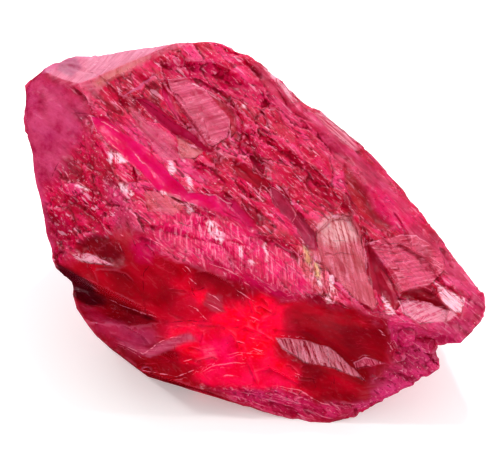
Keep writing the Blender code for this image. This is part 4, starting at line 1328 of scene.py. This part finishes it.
def ruby():
    material = bpy.data.materials.new("ruby_red")
    material.use_nodes = True
    tree = material.node_tree
    tree.nodes.clear()
    n = Nodes(tree)
    place = n.add("ShaderNodeTexCoord").outputs["Object"]
    lines = n.add("ShaderNodeUVMap", uv_map="growth_lines").outputs[0]
    frost, lot, end = n.three("frost_lot_end")
    pale, hot, deep = n.three("pale_hot_deep")
    glow, purple, shade = n.three("glow_purple_shade")
    gold, glint, sleek = n.three("gold_glint_sleek")
    ridge, hollow, turn = n.three("ridge_hollow_turn")
    plate, shard, plate_rim = n.three("plate_shard_edge")
    rim_side, rim_near, rim_faces = n.three("rim_line")
    light_side, light_near, comb = n.three("light_line")
    dark_side, dark_near, _ = n.three("dark_line")
    chipped = n.math("SUBTRACT", 1.0, sleek)

    to_shards = Matrix(shard_frame().T.tolist()) @ lean().to_3x3().inverted()
    shards = n.stretched(place, (1.0, 1.0, 1.0), to_shards.to_euler())
    mottle = n.noise(place, 900.0, 4.0, 0.62)
    cloud = n.noise(place, 230.0, 2.0, 0.5)
    speckle = n.noise(place, 5200.0, 3.0, 0.6)
    stria = n.noise(n.stretched(lines, (5.0, 0.28, 1.0)), 1.0, 4.0, 0.72)
    broad_streak = n.noise(n.stretched(shards, (420.0, 2300.0, 1500.0)), 1.0, 4.0, 0.65)
    fine_streak = n.noise(n.stretched(shards, (1300.0, 7000.0, 4000.0)), 1.0, 3.0, 0.65)
    chip_tint, chip_colour = n.cells(n.stretched(shards, (620.0, 2100.0, 1700.0)), place, 0.5)
    small_tint, small_colour = n.cells(n.stretched(shards, (1900.0, 4600.0, 4600.0)), place, 0.6)
    dash, _ = n.cells(n.stretched(shards, (1500.0, 9500.0, 5200.0)), place, 0.8)
    layered = n.noise(n.stretched(shards, (130.0, 520.0, 420.0)), 1.0, 3.0, 0.6)
    veins = n.noise(n.stretched(place, (330.0, 900.0, 900.0), (0.0, 0.0, 0.35)), 1.0, 3.0, 0.55)

    dark = srgb(150, 0, 34)
    wine = srgb(198, 0, 52)
    rose = srgb(224, 10, 84)
    pink = srgb(242, 64, 132)
    tone = n.math("ADD", n.times(plate, 0.30), n.times(shard, 0.26))
    tone = n.math("ADD", tone, n.math("ADD", n.times(chip_tint, 0.14), n.times(small_tint, 0.16)))
    tone = n.math("ADD", tone, n.times(broad_streak, 0.40))
    tone = n.math("ADD", tone, n.times(n.math("SUBTRACT", mottle, 0.5), 0.35))
    tone = n.math("ADD", tone, n.times(n.math("SUBTRACT", cloud, 0.5), 0.5))
    # Painted shade: faces that turn away from the surface around them come out darker, flat ones a little lighter.
    tone = n.math("ADD", tone, n.ranged(turn, 0.0, 0.16, 0.06, -0.12))
    rough_colour = n.ramp(tone, ((0.34, dark), (0.52, wine), (0.70, rose), (0.94, pink)))
    smear = n.math("ADD", n.times(mottle, 0.5), n.times(n.math("ADD", cloud, broad_streak), 0.25))
    calm = n.mix(n.ranged(smear, 0.42, 0.58), srgb(152, 28, 74), srgb(202, 84, 126))
    colour = n.mix(n.times(sleek, 0.8), rough_colour, calm)
    # The end face: its frosted pink, painted paler also as a reflection of the bright backdrop behind it.
    end_frost_and_painted_reflection = n.mix(n.ranged(cloud, 0.40, 0.60), srgb(204, 92, 142), srgb(232, 162, 196))
    colour = n.mix(n.times(end, 0.9), colour, end_frost_and_painted_reflection)
    colour = n.mix(n.times(purple, 0.75), colour, n.mix(n.ranged(tone, 0.3, 0.8), srgb(170, 0, 78), srgb(222, 56, 138)))
    depths = n.ramp(layered, ((0.36, srgb(122, 0, 8)), (0.50, srgb(156, 0, 14)), (0.64, srgb(192, 0, 30))))
    colour = n.mix(deep, colour, n.mix(n.times(mottle, 0.3), depths, srgb(176, 0, 34)))
    colour = n.mix(hot, colour, n.mix(n.ranged(mottle, 0.3, 0.7), srgb(216, 0, 74), srgb(238, 10, 118)))
    # Painted glow: the heart of the front is painted bright red as though lit from inside.
    ember = n.math("ADD", n.times(mottle, 0.65), n.times(speckle, 0.35))
    glowing = n.mix(n.ranged(ember, 0.38, 0.62), srgb(238, 0, 26), srgb(255, 0, 74))
    glowing = n.mix(n.ranged(layered, 0.46, 0.36, 0.0, 0.3), glowing, srgb(206, 0, 24))
    colour = n.mix(n.times(glow, n.ranged(hot, 0.0, 1.0, 1.0, 0.25)), colour, glowing)
    frosted = n.mix(n.ranged(stria, 0.40, 0.60), srgb(192, 48, 84), srgb(236, 138, 160))
    frosted = n.mix(n.ranged(mottle, 0.45, 0.30, 0.0, 0.5), frosted, srgb(190, 50, 84))
    colour = n.mix(pale, colour, frosted)
    colour = n.mix(n.times(gold, 0.75), colour, srgb(218, 172, 118))
    # How chipped the surface is, which sets the strength of the marks below, painted glints among them.
    rubbed = n.ranged(sleek, 0.0, 0.75, 1.0, 0.04)
    rubbed = n.times(rubbed, n.ranged(end, 0.0, 1.0, 1.0, 0.15))
    uneven = n.times(rubbed, n.ranged(shard, 0.25, 0.75, 0.25, 1.0))
    colour = n.mix(n.times(n.ranged(fine_streak, 0.60, 0.67), n.times(rubbed, 0.85)), colour, srgb(244, 140, 176))
    colour = n.mix(n.times(n.ranged(fine_streak, 0.40, 0.33), rubbed), colour, srgb(132, 0, 30))
    colour = n.mix(n.times(n.ranged(speckle, 0.35, 0.29), n.ranged(sleek, 0.0, 1.0, 0.7, 0.2)), colour, srgb(105, 0, 28))
    # Painted glints: tiny pale specks on chipped parts.
    colour = n.mix(n.times(n.ranged(speckle, 0.67, 0.72), rubbed), colour, srgb(252, 206, 222))
    # Painted highlight along convex ridges and painted shade in the valleys between them.
    ridge_light_and_crease_shade = n.ranged(sleek, 0.0, 1.0, 0.8, 0.2)
    colour = n.mix(n.times(n.ranged(ridge, 0.66, 1.05), n.times(ridge_light_and_crease_shade, 0.55)), colour, srgb(244, 130, 170))
    colour = n.mix(n.times(n.ranged(ridge, 0.38, 0.05), ridge_light_and_crease_shade), colour, srgb(112, 0, 22))
    colour = n.mix(n.times(n.ranged(dash, 0.07, 0.05, 0.0, 0.8), uneven), colour, srgb(108, 0, 24))
    # Painted sparkles: a few bright dashes on chipped parts.
    colour = n.mix(n.times(n.ranged(dash, 0.95, 0.965, 0.0, 0.7), uneven), colour, srgb(252, 176, 204))
    # Painted shade in the hollows.
    colour = n.mix(n.ranged(hollow, 0.42, 0.20, 0.0, 0.5), colour, srgb(170, 0, 36))
    combed = n.times(comb, n.ranged(stria, 0.55, 0.60))
    colour = n.mix(n.times(combed, 0.85), colour, srgb(248, 164, 192))
    colour = n.mix(n.times(comb, n.ranged(stria, 0.46, 0.41, 0.0, 0.9)), colour, srgb(140, 0, 34))
    plate_edge = n.times(n.ranged(n.math("ADD", plate_rim, n.times(speckle, 0.06)), 0.075, 0.045), rubbed)
    colour = n.mix(n.times(plate_edge, 0.6), colour, srgb(120, 0, 30))
    vein = n.ranged(n.math("ABSOLUTE", n.math("SUBTRACT", veins, 0.5)), 0.009, 0.003)
    vein = n.times(n.times(vein, n.ranged(cloud, 0.54, 0.62)), n.math("MAXIMUM", glow, n.times(deep, sleek)))
    colour = n.mix(n.times(vein, 0.25), colour, srgb(255, 60, 100))
    waver = n.times(n.math("SUBTRACT", speckle, 0.5), 0.10)
    gaps = n.ranged(n.noise(place, 2600.0, 1.0, 0.5), 0.42, 0.52, 0.25, 1.0)
    crack = n.thin_line(n.math("ADD", dark_side, waver), n.times(dark_near, gaps), 0.045)
    colour = n.mix(n.times(crack, 0.7), colour, srgb(98, 0, 18))
    # Patch rims: painted shadow where a rim faces down to the right, painted highlight where it faces up to the left.
    shadow = n.thin_line(n.math("ADD", rim_side, waver), n.times(rim_near, n.ranged(rim_faces, 1.1, 0.4)), 0.06)
    colour = n.mix(n.times(shadow, 0.8), colour, srgb(110, 0, 24))
    rim = n.thin_line(n.math("ADD", rim_side, waver), n.times(rim_near, n.ranged(rim_faces, 0.9, 1.5)), 0.045)
    colour = n.mix(n.times(rim, 0.7), colour, srgb(250, 168, 196))
    # Painted highlight lines along ledges and striae.
    painted_highlight_line = n.thin_line(n.math("ADD", light_side, waver), n.times(light_near, gaps), 0.045)
    colour = n.mix(n.times(painted_highlight_line, n.ranged(glow, 0.0, 1.0, 0.8, 0.5)), colour, srgb(252, 150, 176))
    # Painted glints where the glint tint is set, broken up along the striae.
    broken = n.ranged(n.math("ADD", stria, n.times(fine_streak, 0.5)), 0.66, 0.80)
    glinting = n.mix(gold, srgb(253, 230, 240), srgb(250, 228, 140))
    colour = n.mix(n.times(n.times(glint, broken), 0.95), colour, glinting)
    # Painted shade in the cleft, hollows and corners, which also darkens the stain on the end face.
    colour = n.mix(n.times(shade, 0.92), colour, srgb(60, 0, 14))

    roughness = n.ranged(frost, 0.0, 1.0, 0.10, 0.20)
    roughness = n.math("ADD", roughness, n.times(pale, 0.14))
    roughness = n.math("ADD", roughness, n.ranged(mottle, 0.3, 0.7, -0.05, 0.10))

    height = n.times(stria, n.math("ADD", 0.4, n.times(pale, 1.3)))
    height = n.math("ADD", height, n.times(speckle, n.ranged(sleek, 0.0, 1.0, 0.6, 0.2)))
    height = n.math("ADD", height, n.times(broad_streak, n.ranged(sleek, 0.0, 1.0, 2.2, 0.3)))
    height = n.math("ADD", height, n.times(fine_streak, n.ranged(sleek, 0.0, 1.0, 0.9, 0.2)))
    bump = n.add("ShaderNodeBump")
    bump.inputs["Strength"].default_value = 0.8
    bump.inputs["Distance"].default_value = 0.00012
    n.feed(bump.inputs["Height"], height)
    n.feed(bump.inputs["Normal"], n.tilted(chip_colour, n.ranged(sleek, 0.0, 1.0, 0.7, 0.08)))

    skin = n.add("ShaderNodeBsdfPrincipled")
    n.feed(skin.inputs["Base Color"], colour)
    n.feed(skin.inputs["Roughness"], roughness)
    n.feed(skin.inputs["Normal"], bump.outputs[0])
    skin.inputs["IOR"].default_value = 1.77
    skin.inputs["Specular IOR Level"].default_value = 0.28
    skin.inputs["Specular Tint"].default_value = (1.0, 0.55, 0.70, 1.0)
    skin.inputs["Transmission Weight"].default_value = 0.32
    skin.inputs["Subsurface Weight"].default_value = 0.45
    skin.inputs["Subsurface Radius"].default_value = (1.0, 0.2, 0.3)
    skin.inputs["Subsurface Scale"].default_value = 0.0012
    # Painted self-light: the surface gives off its own colour, reddened, at a fifth of it everywhere so that shade
    # stays red, up to three fifths in the painted glow, and a little more on glints and growth lines.
    painted_self_light = n.add("ShaderNodeMix", data_type="RGBA", blend_type="MULTIPLY")
    painted_self_light.inputs[0].default_value = 1.0
    painted_self_light_amount = n.math("ADD", n.ranged(glow, 0.0, 1.0, 0.20, 0.60), n.times(n.math("MAXIMUM", glint, comb), 0.15))
    n.feed(painted_self_light.inputs[6], n.mix(painted_self_light_amount, (0.0, 0.0, 0.0, 1.0), colour))
    painted_self_light.inputs[7].default_value = (1.0, 0.3, 0.55, 1.0)
    n.feed(skin.inputs["Emission Color"], painted_self_light.outputs[2])
    skin.inputs["Emission Strength"].default_value = 1.0
    absorb = n.add("ShaderNodeVolumeAbsorption")
    absorb.inputs["Color"].default_value = (0.97, 0.02, 0.10, 1.0)
    absorb.inputs["Density"].default_value = 1100.0
    out = n.add("ShaderNodeOutputMaterial")
    tree.links.new(skin.outputs[0], out.inputs["Surface"])
    tree.links.new(absorb.outputs[0], out.inputs["Volume"])
    return material


def floor_white():
    material = bpy.data.materials.new("floor_white")
    material.use_nodes = True
    tree = material.node_tree
    n = Nodes(tree)
    skin = tree.nodes["Principled BSDF"]
    skin.inputs["Base Color"].default_value = (0.93, 0.93, 0.93, 1.0)
    skin.inputs["Roughness"].default_value = 0.9
    skin.inputs["Specular IOR Level"].default_value = 0.1
    skin.inputs["Emission Color"].default_value = (1.0, 0.97, 0.98, 1.0)
    skin.inputs["Emission Strength"].default_value = 0.22
    rays = n.add("ShaderNodeLightPath")
    dim = n.add("ShaderNodeBsdfDiffuse")
    dim.inputs["Color"].default_value = (0.035, 0.004, 0.010, 1.0)
    choose = n.add("ShaderNodeMixShader")
    tree.links.new(rays.outputs["Is Glossy Ray"], choose.inputs[0])
    tree.links.new(skin.outputs[0], choose.inputs[1])
    tree.links.new(dim.outputs[0], choose.inputs[2])
    out = tree.nodes["Material Output"]
    tree.links.new(choose.outputs[0], out.inputs["Surface"])
    return material


# ---------------------------------------------------------------- scene


def crystal():
    piece = copy_of_block()
    normals, middles = number_facets(piece)
    refine(piece)
    tints = carve(piece, normals)
    give_facts(piece, normals, middles, tints)
    select_only(piece)
    bpy.ops.object.shade_smooth_by_angle(angle=math.radians(SHARP_DEG))
    piece.data.materials.append(ruby())
    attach(piece, "root")
    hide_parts("ruby_crystal")


def floor():
    bpy.ops.mesh.primitive_plane_add(size=3.0)
    sheet = bpy.context.object
    sheet.name = "floor"
    sheet.data.materials.append(floor_white())


def softbox(name, place, aim, size, watts, colour=(1.0, 1.0, 1.0)):
    light = bpy.data.lights.new(name, "AREA")
    light.shape = "RECTANGLE"
    light.size, light.size_y = size
    light.energy = watts
    light.color = colour
    lamp = bpy.data.objects.new(name, light)
    lamp.location = place
    lamp.rotation_euler = (Vector(place) - Vector(aim)).to_track_quat("Z", "Y").to_euler()
    bpy.context.scene.collection.objects.link(lamp)


def studio():
    scene = bpy.context.scene
    scene.view_settings.view_transform = "Standard"
    world = bpy.data.worlds.new("studio_air")
    scene.world = world
    world.use_nodes = True
    n = Nodes(world.node_tree)
    air = world.node_tree.nodes["Background"]
    air.inputs[0].default_value = (1.0, 1.0, 1.0, 1.0)
    rays = n.add("ShaderNodeLightPath")
    n.feed(air.inputs[1], n.ranged(rays.outputs["Is Glossy Ray"], 0.0, 1.0, 0.82, 0.04))
    middle = (0.0, 0.0, 0.008)
    softbox("key", (0.03, 0.08, 0.29), middle, (0.03, 0.03), 0.50)
    softbox("left", (-0.22, 0.02, 0.22), middle, (0.025, 0.025), 0.22)
    softbox("right", (0.26, 0.0, 0.16), middle, (0.025, 0.025), 0.20)
    softbox("behind", (-0.05, 0.30, 0.10), middle, (0.3, 0.14), 0.35)


def camera():
    lens = bpy.data.cameras.new("camera")
    lens.lens = CAMERA_LENS
    lens.sensor_width = CAMERA_SENSOR
    lens.clip_start = 0.001
    eye = bpy.data.objects.new("camera", lens)
    back = lean().to_3x3() @ Vector((0.0, 0.0, 1.0))
    eye.location = FACE_ON_CENTRE + back * CAMERA_DISTANCE_MM * MM
    eye.rotation_euler = back.to_track_quat("Z", "Y").to_euler()
    bpy.context.scene.collection.objects.link(eye)
    bpy.context.scene.camera = eye


def corners(box):
    return [[float(value) for value in corner] for corner in box]


def main():
    crystal()
    floor()
    studio()
    camera()


main()
